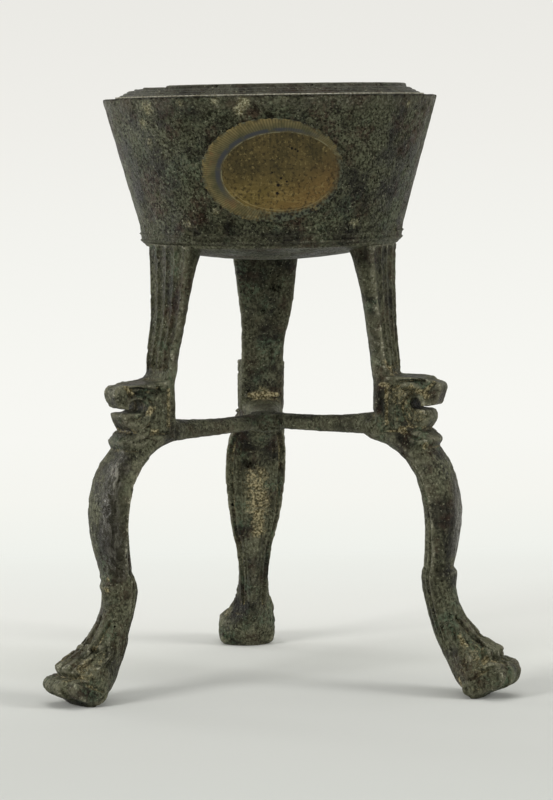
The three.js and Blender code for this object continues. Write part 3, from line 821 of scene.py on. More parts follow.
def flutes():
    """Paths of the flutes up an upright's outer face."""
    levels, _, _, widths = zip(*post_shares)
    for index in range(flute_count):
        share = (2 * index + 1) / flute_count - 1
        path = []
        for height in flute_heights:
            level = (height - post_bottom) / (post_top_height - post_bottom)
            half = float(np.interp(level, levels, widths)) * post_top_width / 2 * flute_spread_share
            path.append((share * half, height, half / flute_count * flute_width_share))
        yield path


def side_lines(name):
    """Every line that's chased on both sides of a leg, as (path, depth, crisp)."""
    groove = [(out, up * toe_height[name], half) for out, up, half in toe_groove]
    yield from (*head_lines, *paw_lines, (groove, toe_groove_depth, True))
    for inset, half, depth in inner_lines:
        edge = []
        for height, spread, thick, _ in leg_shares[inner_run]:
            inner = leg_root_radius + spread * leg_spread - thick * leg_depth / 2
            edge.append((inner + inset, height * leg_top, half))
        yield edge, depth, False


def leg(name):
    parts = [limb(), upright(), arm(name), head(name), ruff(), *toes(name)]
    if name == "left":
        middle, radius = dewclaw
        parts.append(ball(middle, (2 * radius, 2 * radius, 2 * radius)))
    casting = joined(parts)
    modified(casting, "SMOOTH", factor=voxel_smoothing, iterations=1)
    for path in flutes():
        stroked(casting, path, flute_depth, across=0, side=1, crisp=True)
    for path, depth, crisp in front_lines:
        stroked(casting, path, depth, across=0, side=1, crisp=crisp)
    if name == "rear":
        stroked(casting, ledge_line, -ledge_rise, across=0, side=-1, crisp=True)
        stroked(casting, flat_brow, flat_brow_depth, across=1, side=1, crisp=True)
    for path, depth, crisp in side_lines(name):
        stroked(casting, path, depth, across=1, crisp=crisp)
    set_by_hand(casting, leg_set[name], side_set.get(name, [[0, 0, 0]]))
    hollows(casting, hollow_rounds["casting"])
    # Black paint in the depth of each mouth: painted shade; the rear leg also gets its black crust
    (out, up), _, _, _ = mouths[name]
    side, radius, amount = mouth_painted_shade
    ends = [(head_face + out, across, head_throat + up) for across in (-side, side)]
    places, _ = read_skin(casting)
    soil = [*both_sides(side_soil), *top_soil, *own_soil[name]]
    keep_values(casting, "crust", marks(places, [(*ends, radius, amount), *own_crust.get(name, [])]))
    # Polish along the calf, which also places the painted calf highlight
    keep_values(casting, "polish", marks(places, calf_wear_and_highlight[name]))
    keep_values(casting, "soil", marks(places, soil))
    return casting


def turned_body(profile, segments):
    """A closed outline of (radius, height) spun round the Z axis."""
    circle = bpy.ops.mesh.primitive_circle_add
    piece = started(circle, vertices=len(profile), radius=1, fill_type="NOTHING")
    for vertex, (radius, height) in zip(piece.data.vertices, profile):
        vertex.co = (radius, 0, height)
    bpy.ops.object.mode_set(mode="EDIT")
    bpy.ops.mesh.select_all(action="SELECT")
    bpy.ops.mesh.spin(steps=segments, angle=2 * math.pi, center=(0, 0, 0), axis=(0, 0, 1))
    bpy.ops.mesh.select_all(action="SELECT")
    bpy.ops.mesh.remove_doubles(threshold=spin_weld)
    bpy.ops.mesh.dissolve_degenerate(threshold=spin_weld)
    closed()
    return piece


def walked(outline, step):
    """An open outline with its long runs cut into steps."""
    points = []
    for (r0, z0), (r1, z1) in zip(outline, outline[1:]):
        cuts = max(1, round(math.hypot(r1 - r0, z1 - z0) / step))
        points += [(r0 + (r1 - r0) * i / cuts, z0 + (z1 - z0) * i / cuts) for i in range(cuts)]
    return points + outline[-1:]


def wall_radius(height):
    """Outside radius of the cup's cone at a height above the band."""
    share = (height - foot_height - band_height) / (rim_height - foot_height - band_height)
    return band_radius + (rim_radius - band_radius) * share


def bowl():
    band_top = foot_height + band_height
    under_lip = rim_height - lip_thickness
    outside = [(foot_radius - foot_chamfer_in, foot_height), (foot_radius, foot_height + foot_chamfer_up)]
    for share in sorted(bead_shares):
        height = foot_height + share * band_height
        radius = foot_radius + (band_radius - foot_radius) * share
        for out, up in ((0, -bead_half), (bead_rise, 0), (0, bead_half)):
            outside.append((radius + out, height + up))
    in_share, down_share = rim_round_shares
    outside += [
        (band_radius, band_top),
        (wall_radius(rim_height - rim_round), rim_height - rim_round),
        (rim_radius - rim_round * in_share, rim_height - rim_round * down_share),
        (rim_radius - rim_round, rim_height),
    ]
    inside = [
        (rim_radius - lip_width, rim_height),
        (rim_radius - lip_width, under_lip),
        (wall_radius(under_lip) - wall_thickness, under_lip),
        (band_radius - wall_thickness, band_top),
        (foot_radius - foot_wall, foot_height + foot_seat),
        (foot_radius - foot_wall, foot_height),
    ]
    piece = turned_body(walked(outside, cup_step) + walked(inside, inner_step), cup_segments)
    places, _ = read_skin(piece)
    # The black line along the rim's top is painted shade; the rest are stains and crust patches
    rim_line = np.interp(rim_height - places[:, 2], *zip(*rim_shade_and_stain))
    keep_values(piece, "crust", np.maximum(marks(places, on_wall(cup_crust)), rim_line))
    keep_values(piece, "soil", marks(places, on_wall(cup_spots)))
    return piece


def on_wall(spots):
    """Spots on the cup's wall as lines without length."""
    for azimuth, height, reach, amount in spots:
        turn = math.radians(azimuth)
        out = wall_radius(height)
        place = (out * math.cos(turn), out * math.sin(turn), height)
        yield place, place, reach, amount


def plate():
    """The floor plate: a shallow bulge below, its edge under the wall."""
    edge = floor_high.z - plate_edge
    lip = floor_high.z - plate_gap
    rim = floor_radius - plate_round
    well = floor_radius - plate_well
    dome = [(share, edge - (edge - floor_low.z) * (1 - share**2)) for share in dome_shares]
    under = [(share * rim, height) for share, height in dome]
    inside = [(share * well, height + floor_thickness) for share, height in dome]
    top = [(floor_radius, edge + plate_chamfer), (floor_radius, lip), (well, lip)]
    return turned_body(walked(under + top + inside[::-1], plate_step), plate_segments)


def collar():
    """The ring in the mouth, with turned lines on its bevel, and its worn foot edge painted pale: partly
    bare metal, partly a painted highlight.
    """
    foot = rim_height + collar_seat
    shoulder = rim_height + shoulder_rise
    bevel = [(collar_radius, foot), (collar_radius, foot + collar_foot_face)]
    run, rise = shoulder_radius - collar_radius, shoulder - foot
    for share in collar_line_shares:
        for offset, sink in ((-collar_line_half, 0), (0, collar_line_depth), (collar_line_half, 0)):
            along = share + offset / math.hypot(run, rise)
            out = collar_radius + run * along - sink * collar_line_share
            bevel.append((out, foot + rise * along - sink))
    inner = rim_radius - lip_width - ring_gap
    outline = bevel + [
        (shoulder_radius, shoulder),
        (tier_radius + tier_slope, shoulder + tier_foot),
        (tier_radius - tier_slope, collar_top - tier_chamfer),
        (tier_radius - tier_round, collar_top),
        (mouth_radius + mouth_round, collar_top),
        (mouth_radius, collar_top - mouth_round),
        (mouth_radius, collar_top - collar_thickness),
        (inner, foot - ring_top),
        (inner, foot - ring_depth),
        (inner + ring_wall, foot - ring_depth),
        (inner + ring_wall, foot),
    ]
    piece = turned_body(walked(outline, cup_step), collar_segments)
    turns = [math.radians(angle) for angle in notch_angles]
    notch = [(notch_radius * math.cos(turn), notch_radius * math.sin(turn), notch_half) for turn in turns]
    stroked(piece, notch, notch_depth, across=2, side=1, crisp=True)
    places, _ = read_skin(piece)
    # The foot edge is painted pale through the soil values: partly wear, partly a painted highlight
    worn = np.hypot(places[:, 0], places[:, 1]) > collar_radius - collar_edge
    keep_values(piece, "soil", collar_edge_wear_and_highlight * worn)
    return piece


def label():
    """A paper oval bent round the wall, its edge frayed by age and picked by small pits."""
    columns, rows = label_cells
    grid = bpy.ops.mesh.primitive_grid_add
    piece = started(grid, x_subdivisions=columns, y_subdivisions=rows, size=2)
    flat = []
    for vertex in piece.data.vertices:
        x, y = vertex.co.x, vertex.co.y
        u, v = x * math.sqrt(1 - y * y / 2), y * math.sqrt(1 - x * x / 2)
        angle = math.atan2(v, u)
        ragged = 1 + sum(share * math.sin(count * angle + count) for count, share in label_fray)
        across, up = u * label_width / 2 * ragged, v * label_height / 2 * ragged
        flat.append((across, up, 0))
        height = label_middle + up
        radius = wall_radius(height) + label_lift
        for pit_across, pit_up, pit_radius in label_pits:
            gap = math.hypot(across - pit_across, up - pit_up) / pit_radius
            radius -= label_lift * max(0, 1 - gap**2)
        turn = math.radians(label_azimuth) + across / radius
        vertex.co = (radius * math.cos(turn), radius * math.sin(turn), height)
    attribute = piece.data.attributes.new("paper", "FLOAT_VECTOR", "POINT")
    attribute.data.foreach_set("vector", np.array(flat, dtype=np.float32).ravel())
    return modified(piece, "SOLIDIFY", thickness=label_thickness, offset=1)


def hub():
    middle = (0, 0, hub_middle)
    lump = ball(middle, (2 * hub_radius, 2 * hub_radius, hub_height))
    slab = started(
        bpy.ops.mesh.primitive_cylinder_add,
        vertices=slab_points,
        radius=hub_radius - hub_step,
        depth=hub_height * hub_slab_share,
        location=middle,
    )
    piece = joined([lump, applied(slab)])
    piece.data.transform(Matrix.Translation((hub_axis.x, hub_axis.y, 0)))
    return weathered(piece, "hub", hub_draw)


def linear(code):
    """A hex sRGB colour as the linear values that a shader takes."""
    shares = [int(code[i : i + 2], 16) / 255 for i in (1, 3, 5)]
    return [s / 12.92 if s <= 0.04045 else ((s + 0.055) / 1.055) ** 2.4 for s in shares] + [1]


def add(tree, kind, inputs=None, **settings):
    """Adds a node with its settings, and its inputs set or linked."""
    node = tree.nodes.new("ShaderNode" + kind)
    for name, value in settings.items():
        setattr(node, name, value)
    for key, value in (inputs or {}).items():
        if isinstance(value, bpy.types.NodeSocket):
            tree.links.new(value, node.inputs[key])
        else:
            node.inputs[key].default_value = value
    return node


def blotches(tree, place, size, low, high, seed):
    """A mask of uneven patches about as large as size, in millimetres."""
    inputs = {"Vector": place, "W": seed, "Scale": 0.5 / size, "Detail": 5, "Roughness": 0.62}
    noise = add(tree, "TexNoise", inputs, noise_dimensions="4D")
    spread = {"Value": noise.outputs["Fac"], "From Min": low, "From Max": high}
    return add(tree, "MapRange", spread, interpolation_type="SMOOTHSTEP").outputs["Result"]


def band(tree, value, start, end):
    """Rises from 0 to 1 as the value goes from start to end."""
    return add(tree, "MapRange", {"Value": value, "From Min": start, "From Max": end}).outputs["Result"]


def combined(tree, operation, *parts):
    """Sockets and numbers worked together, one after another."""
    result = parts[0]
    for part in parts[1:]:
        result = add(tree, "Math", {0: result, 1: part}, operation=operation).outputs[0]
    return result


def product(tree, masks, names):
    """The masks of these names multiplied; a number stands for itself."""
    return combined(tree, "MULTIPLY", *(masks.get(name, name) for name in names))


def over(tree, under, colour, mask):
    """A colour laid over another through a mask."""
    return add(tree, "Mix", {0: mask, 6: under, 7: colour}, data_type="RGBA").outputs[2]


def layered(tree, colour, layers, masks):
    """Lays colours over one another; each layer names its colour and the masks it shows through."""
    for code, *names in layers:
        tone = linear(code) if code.startswith("#") else masks[code]
        colour = over(tree, colour, tone, product(tree, masks, names))
    return colour


def stretched(tree, place, stretches):
    """Coordinates by name, each squeezed along the axes by its own factors."""
    return {
        name: add(tree, "VectorMath", {0: place, 1: factors}, operation="MULTIPLY").outputs["Vector"]
        for name, factors in stretches.items()
    }


def new_material(name):
    made = bpy.data.materials.new(name)
    made.use_nodes = True
    made.node_tree.nodes.clear()
    return made


# What sets the bronzes apart, in this order: the legs, the cup, the collar and the soldered joint
bronze_names = [
    "cast_bronze_brown_patina",
    "cast_bronze_green_patina",
    "turned_bronze_grey_patina",
    "soldered_joint_crust",
]
bronze_traits = {
    "dark": ("#100f09", "#0f0e09", "#1c1a12", "#1c1a12"),
    "light": ("#373626", "#2b2a1b", "#302e24", "#34321f"),
    "film": ("#6e6f58", "#62654e", "#58584c", "#6a6c5a"),
    "dust_dark": ("#51482d", "#6a6548", "#8f8b78", "#574b33"),
    "dust_pale": ("#bdb189", "#c0bc9a", "#c9c6b4", "#a5946c"),
    "film_low_share": (0.88, 0.87, 0.8, 0.85),
    "film_high_share": (0.5, 0.87, 0.8, 0.85),
    "film_break": (0.38, 0.34, 0.32, 0.32),
    "red_share": (0.55, 0.75, 0.4, 0.3),
    "bloom_share": (0.6, 0.3, 0.3, 0.6),
    "soil_share": (1.0, 0.4, 0.4, 0.8),
    "grain_share": (0.5, 0.72, 0.3, 0.5),
    # How strongly edges show pale, partly worn metal and partly a painted highlight, and how strongly the
    # painted glints show
    "edge_share": (0.62, 0.22, 0.5, 0.5),
    "filing": (0.8, 1, 1, 1),
    "seed": (1, 30, 60, 90),
}
film_heights = (66, 76)  # the legs' film thins out between them
# Patches of the patina: coordinates, size in mm, where it starts and ends to show, chance draw
patina_patches = {
    "cloud": ("even", 3.4, 0.42, 0.57, 0),
    "grain": ("filed", 0.28, 0.46, 0.58, 1),
    "film_patch": ("even", 3.4, "film_break", 0.57, 2),
    "film_grain": ("filed", 0.28, 0.36, 0.6, 3),
    "red_patch": ("even", 3.0, 0.5, 0.62, 4),
    "red_grain": ("even", 0.5, 0.36, 0.56, 5),
    "bloom_patch": ("even", 4.0, 0.52, 0.62, 6),
    "bloom_grain": ("even", 0.4, 0.44, 0.58, 7),
    "speck": ("even", 0.24, 0.6, 0.66, 8),
    "recess_grain": ("even", 0.9, 0.44, 0.58, 9),
    "dust_grain": ("even", 0.24, 0.44, 0.58, 11),
    "hole_grain": ("even", 0.42, 0.6, 0.65, 12),
    "edge_grain": ("even", 0.7, 0.36, 0.56, 13),
    "scratch": ("along", 0.4, 0.46, 0.62, 14),
    "rub_patch": ("even", 1.6, 0.26, 0.46, 15),
    "hole_patch": ("even", 2.6, 0.42, 0.56, 16),
    "glint": ("even", 0.34, 0.54, 0.62, 17),
}
# Rougher noise: cells in a millimetre, levels of detail, their strength
patina_noises = {
    "crumbs": (1.1, 8, 0.85),
    "broken": (1.3, 5, 0.7),
    "pits": (1.8, 6, 0.72),
    "grit": (0.45, 3, 0.55),
}
# Where a kept value, or one of the noises, starts to show and where it shows in full
patina_bands = {
    "handled": ("polish", 0.1, 0.5),
    "polished": ("polish", 0.5, 1.0),
    "edge": ("hollow", -0.15, -0.5),
    # Hollows, where soil gathers and where painted shade darkens the metal
    "deep": ("hollow", 0.1, 0.42),
    "strong_relief": ("relief", 0.24, 0.5),
    "soil_place": ("soil", 0.0, 0.12),
    "broken_crust": ("broken", 0.3, 0.62),
}
# Masks made of those
patina_products = {
    "black_grain": ("grain", "grain_share"),
    "hole": ("hole_grain", "hole_patch"),
    "rubbed": ("handled", "rub_patch"),
    "recess": ("deep", "recess_grain", "soil_share"),
    "rub_shine": ("rubbed", "scratch", 0.8),
    "rub_smooth": ("rubbed", 0.28),
    "soil_strength": ("soil", 0.45),
    "crumb_strength": ("crumbs", 1.5),
    # Crust, broken up; through the crust values it also carries the painted shade in the mouths and along
    # the rim
    "crusted": ("crust", "broken_crust"),
}
# The colours from the metal up, each with what it shows through
patina_layers = [
    ("light", "cloud"),
    ("film", "film_patch", "film_grain", "film_share"),
    ("#3a251b", "red_patch", "red_grain", "red_share"),
    ("#5a6b54", "bloom_patch", "bloom_grain", "bloom_share"),
    ("#0b0a06", "black_grain"),
    ("#92927a", "speck", 0.7),
    ("#060503", "hole"),
    ("#1f1c13", "rubbed", 0.8),
    # Pale streaks on the polished calves: a painted highlight
    ("#9a978a", "rubbed", "scratch", "polished", 0.9),
    # Pale ridges and edges: partly worn metal, partly a painted highlight
    ("#7b7964", "edge", "edge_grain", "edge_share"),
    # Pale glints on the carved ridges: painted highlights
    ("#b3b09a", "glint", "strong_relief", "edge_share"),
    # Darker in the hollows: painted shade
    ("#16140c", "deep", 0.5),
    ("dust", "soiled", 0.85),
    # Black: real crust, and painted shade deep in the mouths and along the rim's top
    ("#0b0804", "black"),
]
scratch_stretch = (1, 1, 0.22)  # long scratches along the limb, where hands have rubbed it
# Where clinging soil and black crust start to show and show in full, and where the shine is lost
clinging_band = (0.88, 1.1)
black_band = (0.08, 0.5)
shine_band = (1.0, 0.05)
bronze_shine = 0.26
rough_range = (0.46, 0.62)
soil_rough_share = 0.3
black_sink_share = 0.35  # how deep the black grain and pits lie in the bump's height
bronze_bump = {"Strength": 0.9, "Distance": 0.45 * MM}
bronze_body = {"Metallic": 0.1, "Specular Tint": linear("#f6f2e2")}


def patinated(index):
    """Cast bronze under a long-buried patina.

    To the eye: near-black olive metal with a fine grey-green grain, darker clouds, a breath of red
    copper oxide, pale green specks, black pits, and beige soil held in the hollows. It also carries
    painted light and shade: the hollows darkened, black deep in the mouths and along the rim's top,
    and painted highlights on worn edges, carved ridges and polished calves.
    """
    made = new_material(bronze_names[index])
    tree = made.node_tree
    masks = {name: row[index] for name, row in bronze_traits.items()}
    for name in ("light", "film", "dust_dark", "dust_pale"):
        masks[name] = linear(masks[name])
    object_place = add(tree, "TexCoord").outputs["Object"]
    place = add(tree, "VectorMath", {0: object_place, "Scale": 1 / MM}, operation="SCALE").outputs["Vector"]
    # The grain runs a little along the limbs, as it does after filing
    stretches = {"even": (1, 1, 1), "filed": (1, 1, masks["filing"]), "along": scratch_stretch}
    places = stretched(tree, place, stretches)
    for name, (way, size, low, high, draw) in patina_patches.items():
        low = masks.get(low, low)
        masks[name] = blotches(tree, places[way], size, low, high, masks["seed"] + draw)
    for name, (cells, detail, rough) in patina_noises.items():
        inputs = {"Vector": place, "Scale": cells, "Detail": detail, "Roughness": rough}
        masks[name] = add(tree, "TexNoise", inputs).outputs["Fac"]
    for name in ("hollow", "soil", "crust", "polish"):
        masks[name] = add(tree, "Attribute", attribute_name=name).outputs["Fac"]
    masks["relief"] = add(tree, "Math", {0: masks["hollow"]}, operation="ABSOLUTE").outputs[0]
    for name, (field, start, end) in patina_bands.items():
        masks[name] = band(tree, masks[field], start, end)
    for name, names in patina_products.items():
        masks[name] = product(tree, masks, names)

    settling = {
        "Value": add(tree, "SeparateXYZ", {0: place}).outputs["Z"],
        "From Min": film_heights[0],
        "From Max": film_heights[1],
        "To Min": masks["film_low_share"],
        "To Max": masks["film_high_share"],
    }
    masks["film_share"] = add(tree, "MapRange", settling).outputs["Result"]
    masks["dust"] = over(tree, masks["dust_dark"], masks["dust_pale"], masks["dust_grain"])
    clinging = combined(tree, "ADD", masks["soil_strength"], masks["crumb_strength"])
    spots = combined(tree, "MULTIPLY", band(tree, clinging, *clinging_band), masks["soil_place"])
    masks["soiled"] = combined(tree, "MAXIMUM", masks["recess"], spots)
    masks["black"] = band(tree, masks["crusted"], *black_band)
    colour = layered(tree, linear(masks["dark"]), patina_layers, masks)

    dull = combined(tree, "MAXIMUM", masks["black_grain"], masks["hole"], masks["black"])
    shine = combined(tree, "ADD", masks["rub_shine"], bronze_shine)
    shine = combined(tree, "MULTIPLY", shine, band(tree, dull, *shine_band))
    least, greatest = rough_range
    roughness = add(tree, "MapRange", {"Value": masks["cloud"], "To Min": least, "To Max": greatest})
    soil_rough = product(tree, masks, ("soiled", soil_rough_share))
    roughness = combined(tree, "ADD", roughness.outputs["Result"], soil_rough)
    roughness = combined(tree, "SUBTRACT", roughness, masks["rub_smooth"])
    height = combined(tree, "ADD", masks["pits"], masks["grit"])
    height = combined(tree, "SUBTRACT", height, combined(tree, "MULTIPLY", dull, black_sink_share))
    bump = add(tree, "Bump", {"Height": height, **bronze_bump}).outputs["Normal"]
    surface = {"Base Color": colour, "Roughness": roughness, "Specular IOR Level": shine, "Normal": bump}
    shader = add(tree, "BsdfPrincipled", {**bronze_body, **surface})
    add(tree, "OutputMaterial", {"Surface": shader.outputs["BSDF"]})
    return made


# The paper's patches, in the same columns as the bronze's
paper_stretches = {"flat": (1, 1, 1), "upright": (2.6, 0.4, 1), "level": (0.4, 2.6, 1)}
paper_patches = {
    "mottle": ("flat", 2.4, 0.35, 0.62, 3),
    "dark_speck": ("flat", 0.32, 0.5, 0.62, 5),
    "dark_streak": ("upright", 1.0, 0.48, 0.62, 6),
    "border_mottle": ("flat", 0.9, 0.36, 0.6, 7),
    "frayed": ("flat", 0.6, 0.3, 0.5, 8),
    "grime_grain": ("flat", 0.34, 0.44, 0.58, 9),
    "rim_patch": ("flat", 0.6, 0.4, 0.55, 10),
    "pale_streak": ("level", 1.0, 0.48, 0.62, 12),
    "pale_speck": ("flat", 0.3, 0.56, 0.64, 13),
    "brown_patch": ("flat", 1.6, 0.56, 0.66, 14),
    "pale_patch": ("flat", 0.8, 0.4, 0.55, 15),
    "blue_patch": ("flat", 1.2, 0.3, 0.5, 16),
}
# Bands over the printed field's own measures: up, and right and low, as shares of its half sizes;
# field and sheet are distances from the middle, as shares of the way to the edge
paper_bands = {
    "lower": ("up", 0.1, -0.6),
    "lower_right": ("right_low", 0.2, 1.1),
    "upper": ("up", -0.5, 0.1),
    "foot": ("up", 0.0, -0.5),
    "border": ("field", 1.0, 1.04),
    "print_side": ("left_high", -0.9, 0.6),
    "print_reach": ("field", 1.38, 1.14),
    "hatch": ("waves", -0.2, 0.6),
    "hatch_reach": ("field", 1.5, 1.3),
    "blue_side": ("left_high", 0.0, 1.0),
    "low_rim": ("up", -0.3, -0.7),
    "outer": ("field", 0.88, 1.02),
    "worn_side": ("right_low", 0.1, 1.0),
    "sheet_rim": ("sheet", 0.93, 1.0),
}
# Rings printed round the field: where, and half as wide as what
paper_rings = {"blue_ring": (1.06, 0.065), "pale_ring": (1.0, 0.014), "foot_ring": (0.93, 0.014)}
ring_core_share = 0.4
border_layers = [("#7b6c45", "border_mottle"), ("#7b5230", "brown_patch", 0.6)]
grime_layers = [("#4c5040", "grime_grain")]
paper_layers = [
    ("#504527", "mottle"),
    ("#6a5a2c", "lower", 0.6),
    ("#664b2a", "lower_right", 0.5),
    ("#2f2a17", "dark_streak", "upper", 0.5),
    ("#837245", "pale_streak", "foot", 0.45),
    ("#1f1b0f", "dark_speck", 0.7),
    ("#7f7148", "pale_speck", 0.5),
    ("border_paper", "border"),
    ("#3d402f", "print_reach", "border", "print_side", 0.7),
    ("#34331f", "hatch", "hatch_reach", "border", 0.5),
    ("#32353b", "blue_ring", "blue_side", "blue_patch", 0.85),
    ("#747157", "pale_ring", "pale_patch", 0.7),
    ("#8a7a50", "foot_ring", "low_rim", 0.6),
    ("grime", "worn_side", "outer", "frayed"),
    ("grime", "sheet_rim", "rim_patch"),
]
pit_core_share = 0.6
# Its fibres, in cells to a millimetre, and what they do to the light
fibre = {"Scale": 1.2, "Detail": 5}
paper_bump = {"Strength": 0.6, "Distance": 0.2 * MM}
paper_body = {"Roughness": 0.85, "Specular IOR Level": 0.2}


def oval_shares(tree, axes, middle, half):
    """How far across and up from the middle of an oval, as shares of its half sizes."""
    for axis, start, reach in zip("XY", middle, half):
        gap = combined(tree, "SUBTRACT", axes[axis], start)
        yield combined(tree, "MULTIPLY", gap, 1 / reach)


def ring_distance(tree, across, up):
    """Distance from the middle of an oval, 1 on its edge."""
    oval = add(tree, "CombineXYZ", {"X": across, "Y": up}).outputs["Vector"]
    return add(tree, "VectorMath", {0: oval}, operation="LENGTH").outputs["Value"]


def label_paper():
    """Old gummed paper: matte ochre, browned by handling, with a finely hatched printed border."""
    made = new_material("aged_gummed_paper")
    tree = made.node_tree
    flat = add(tree, "Attribute", attribute_name="paper").outputs["Vector"]
    axes = add(tree, "SeparateXYZ", {0: flat}).outputs
    across, up = oval_shares(tree, axes, field_shift, field_half)
    right_low = combined(tree, "SUBTRACT", across, up)
    angle = combined(tree, "ARCTAN2", up, across)
    turns = combined(tree, "MULTIPLY", angle, hatch_lines)
    masks = {
        "up": up,
        "right_low": right_low,
        "left_high": combined(tree, "MULTIPLY", right_low, -1),
        "field": ring_distance(tree, across, up),
        "sheet": ring_distance(tree, *oval_shares(tree, axes, (0, 0), (label_width / 2, label_height / 2))),
        "waves": add(tree, "Math", {0: turns}, operation="SINE").outputs[0],
    }
    places = stretched(tree, flat, paper_stretches)
    for name, (way, size, low, high, draw) in paper_patches.items():
        masks[name] = blotches(tree, places[way], size, low, high, draw)
    for name, (field, start, end) in paper_bands.items():
        masks[name] = band(tree, masks[field], start, end)
    for name, (middle, half) in paper_rings.items():
        gap = combined(tree, "SUBTRACT", masks["field"], middle)
        gap = add(tree, "Math", {0: gap}, operation="ABSOLUTE").outputs[0]
        masks[name] = band(tree, gap, half, half * ring_core_share)
    masks["border_paper"] = layered(tree, linear("#544a29"), border_layers, masks)
    masks["grime"] = layered(tree, linear("#191811"), grime_layers, masks)
    colour = layered(tree, linear("#3c351d"), paper_layers, masks)
    for pit_across, pit_up, pit_radius in label_pits:
        pit = {0: flat, 1: (pit_across, pit_up, 0)}
        spot = add(tree, "VectorMath", pit, operation="DISTANCE").outputs["Value"]
        hole = band(tree, spot, pit_radius, pit_radius * pit_core_share)
        colour = over(tree, colour, linear("#0c0a06"), hole)
    height = add(tree, "TexNoise", {"Vector": flat, **fibre}).outputs["Fac"]
    bump = add(tree, "Bump", {"Height": height, **paper_bump}).outputs["Normal"]
    shader = add(tree, "BsdfPrincipled", {"Base Color": colour, "Normal": bump, **paper_body})
    add(tree, "OutputMaterial", {"Surface": shader.outputs["BSDF"]})
    return made


bronze_leg, bronze_cup, bronze_collar, crusted_joint = map(patinated, range(len(bronze_names)))
paper = label_paper()

for name, azimuth, lean in legs:
    piece = weathered(on_leg(leg(name), azimuth, lean), "leg", round(azimuth))
    nodes = [name + ending for ending in ("_leg", "_post", "_head", "_arm")]
    finished(piece, name + "_leg_casting", "cast_bronze", bronze_leg, *nodes)

piece = hollows(weathered(on_cup(bowl()), "cup", cup_draw), hollow_rounds["casting"])
finished(piece, "cup_wall", "cast_bronze", bronze_cup, "bowl_body")
piece = hollows(weathered(on_cup(plate()), "plate"), hollow_rounds["plate"])
finished(piece, "cup_floor_plate", "cast_bronze", bronze_cup, "bowl_floor")
piece = hollows(weathered(on_cup(collar()), "collar"), hollow_rounds["plate"])
finished(piece, "mouth_ring", "cast_bronze", bronze_collar, "mouth_collar")
finished(on_cup(label()), "paper_label", "label_paper", paper, "inventory_label")
finished(hollows(hub(), hollow_rounds["hub"]), "hub_joint", "braze", crusted_joint, "arm_hub")

# The camera
focal_px = pixels_per_mm * camera_distance
pitch = math.atan((photo_height / 2 - horizon_px) / focal_px)
side_shift = (photo_width / 2 - axis_px) / pixels_per_mm
turn = Matrix.Rotation(camera_turn, 3, "Z")
camera_data = bpy.data.cameras.new("camera")
camera = bpy.data.objects.new("camera", camera_data)
bpy.context.scene.collection.objects.link(camera)
bpy.context.scene.camera = camera
eye = turn @ Vector((side_shift, -camera_distance, 0)) + hub_axis
eye.z = camera_height
view_line = turn @ Vector((0, math.cos(pitch), -math.sin(pitch)))
camera.location = eye * MM
camera.rotation_euler = view_line.to_track_quat("-Z", "Y").to_euler()
camera_data.lens = focal_px * sensor / photo_height
camera_data.sensor_width = sensor
camera_data.clip_start, camera_data.clip_end = camera_clip

# The pale paper sweep and the studio's light
sweep_half = 2600.0
sweep_back = 1500.0
sweep_height = 1800.0
sweep_bend = 900.0
bend_segments = 16
# Painted light and shade along the floor, mm behind the middle: its colour darker in front of and under the
# object, where light and shadow play on it
floor_levels = [
    (-150, "#c9cbc6"), (-95, "#cacbc6"), (-60, "#cecfca"), (-40, "#d3d4cf"), (-20, "#d9dad5"),
    (10, "#e2e3dd"), (80, "#eeeee9"), (900, "#f8f8f2"),
]
# The even glow it shows further back, along the floor and up the backdrop
glow_levels = [
    (30, "#e0e1e0"), (80, "#e7e8e7"), (137, "#f2f4f3"), (207, "#f8faf9"), (322, "#fdfdfc"),
    (514, "#ffffff"),
]
backdrop_levels = [
    (0, "#f7f7f2"), (60, "#f3f3ee"), (120, "#efeee9"), (170, "#ecebe6"), (230, "#e9e8e3"),
]
glow_reach = (35, 190)  # where the one passes into the other
# The lamps: place and size in mm, and power
lamp_aim = (0, 0, 60)
lamps = {
    "overhead": ((0, -100, 900), 800, 3.6),
    "left": ((-720, -560, 430), 320, 4.7),
    "right": ((780, -450, 400), 320, 4.2),
    "edge": ((-500, 400, 100), 150, 1.1),
}
world_colour = "#f4f4f0"
world_strength = 0.3


def levels(tree, value, table):
    """A ramp of colours along a length in millimetres."""
    first, last = table[0][0], table[-1][0]
    ramp = add(tree, "ValToRGB", {"Fac": band(tree, value, first * MM, last * MM)})
    stops = ramp.color_ramp.elements
    stops[0].color = linear(table[0][1])
    stops[1].color = linear(table[-1][1])
    for place, code in table[1:-1]:
        stops.new((place - first) / (last - first)).color = linear(code)
    return ramp.outputs["Color"]


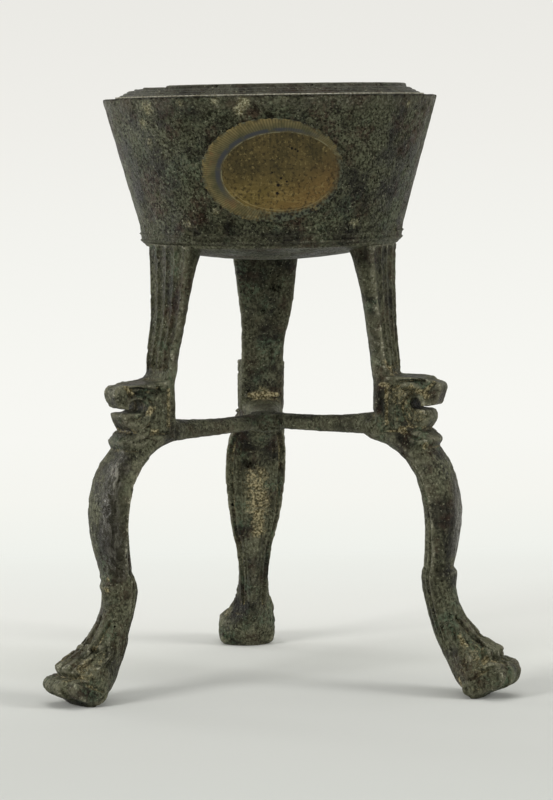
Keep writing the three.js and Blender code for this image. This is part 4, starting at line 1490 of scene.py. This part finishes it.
def studio_paper():
    """Seamless white studio paper: matte, its colour painted darker in front of and under the object as
    painted shade.
    """
    made = new_material("seamless_studio_paper")
    tree = made.node_tree
    axes = add(tree, "SeparateXYZ", {0: add(tree, "TexCoord").outputs["Object"]}).outputs
    matte = add(tree, "BsdfDiffuse", {"Color": levels(tree, axes["Y"], floor_levels)})
    even = over(tree, levels(tree, axes["Y"], glow_levels), levels(tree, axes["Z"], backdrop_levels), 1)
    even.node.blend_type = "MULTIPLY"
    glow = add(tree, "Emission", {"Color": even})
    ray = add(tree, "LightPath").outputs
    rays = [ray[kind] for kind in ("Is Camera Ray", "Is Glossy Ray", "Is Transmission Ray")]
    near, far = glow_reach
    seen = combined(tree, "MAXIMUM", *rays)
    share = combined(tree, "MULTIPLY", seen, band(tree, axes["Y"], near * MM, far * MM))
    mixed = add(tree, "MixShader", {0: share, 1: matte.outputs[0], 2: glow.outputs[0]})
    add(tree, "OutputMaterial", {"Surface": mixed.outputs[0]})
    return made


def sweep():
    piece = started(bpy.ops.mesh.primitive_plane_add, size=2 * sweep_half)
    for vertex in piece.data.vertices:
        if vertex.co.y > 0:
            vertex.co.y = sweep_back
    bpy.ops.object.mode_set(mode="EDIT")
    bpy.ops.mesh.select_all(action="DESELECT")
    bpy.ops.object.mode_set(mode="OBJECT")
    for edge in piece.data.edges:
        edge.select = all(piece.data.vertices[i].co.y > 0 for i in edge.vertices)
    bpy.ops.object.mode_set(mode="EDIT")
    bpy.ops.mesh.select_mode(type="EDGE")
    bpy.ops.mesh.extrude_region_move(TRANSFORM_OT_translate={"value": (0, 0, sweep_height)})
    bpy.ops.object.mode_set(mode="OBJECT")
    modified(piece, "BEVEL", width=sweep_bend, segments=bend_segments, limit_method="ANGLE")
    piece.scale = (MM, MM, MM)
    applied(piece)
    bpy.ops.object.shade_smooth()
    piece.name = "paper_sweep"
    piece.data.materials.append(studio_paper())


def softbox(name, place, size, power):
    lamp = bpy.data.lights.new(name, "AREA")
    lamp.energy = power
    lamp.size = size * MM
    holder = bpy.data.objects.new(name, lamp)
    holder.location = Vector(place) * MM
    aim = Vector(lamp_aim) * MM - holder.location
    holder.rotation_euler = aim.to_track_quat("-Z", "Y").to_euler()
    bpy.context.scene.collection.objects.link(holder)


sweep()
for name, (place, size, power) in lamps.items():
    softbox(name, place, size, power)

world = bpy.data.worlds.new("studio")
bpy.context.scene.world = world
world.use_nodes = True
background = world.node_tree.nodes["Background"]
background.inputs["Color"].default_value = linear(world_colour)
background.inputs["Strength"].default_value = world_strength
bpy.context.scene.view_settings.view_transform = "Standard"
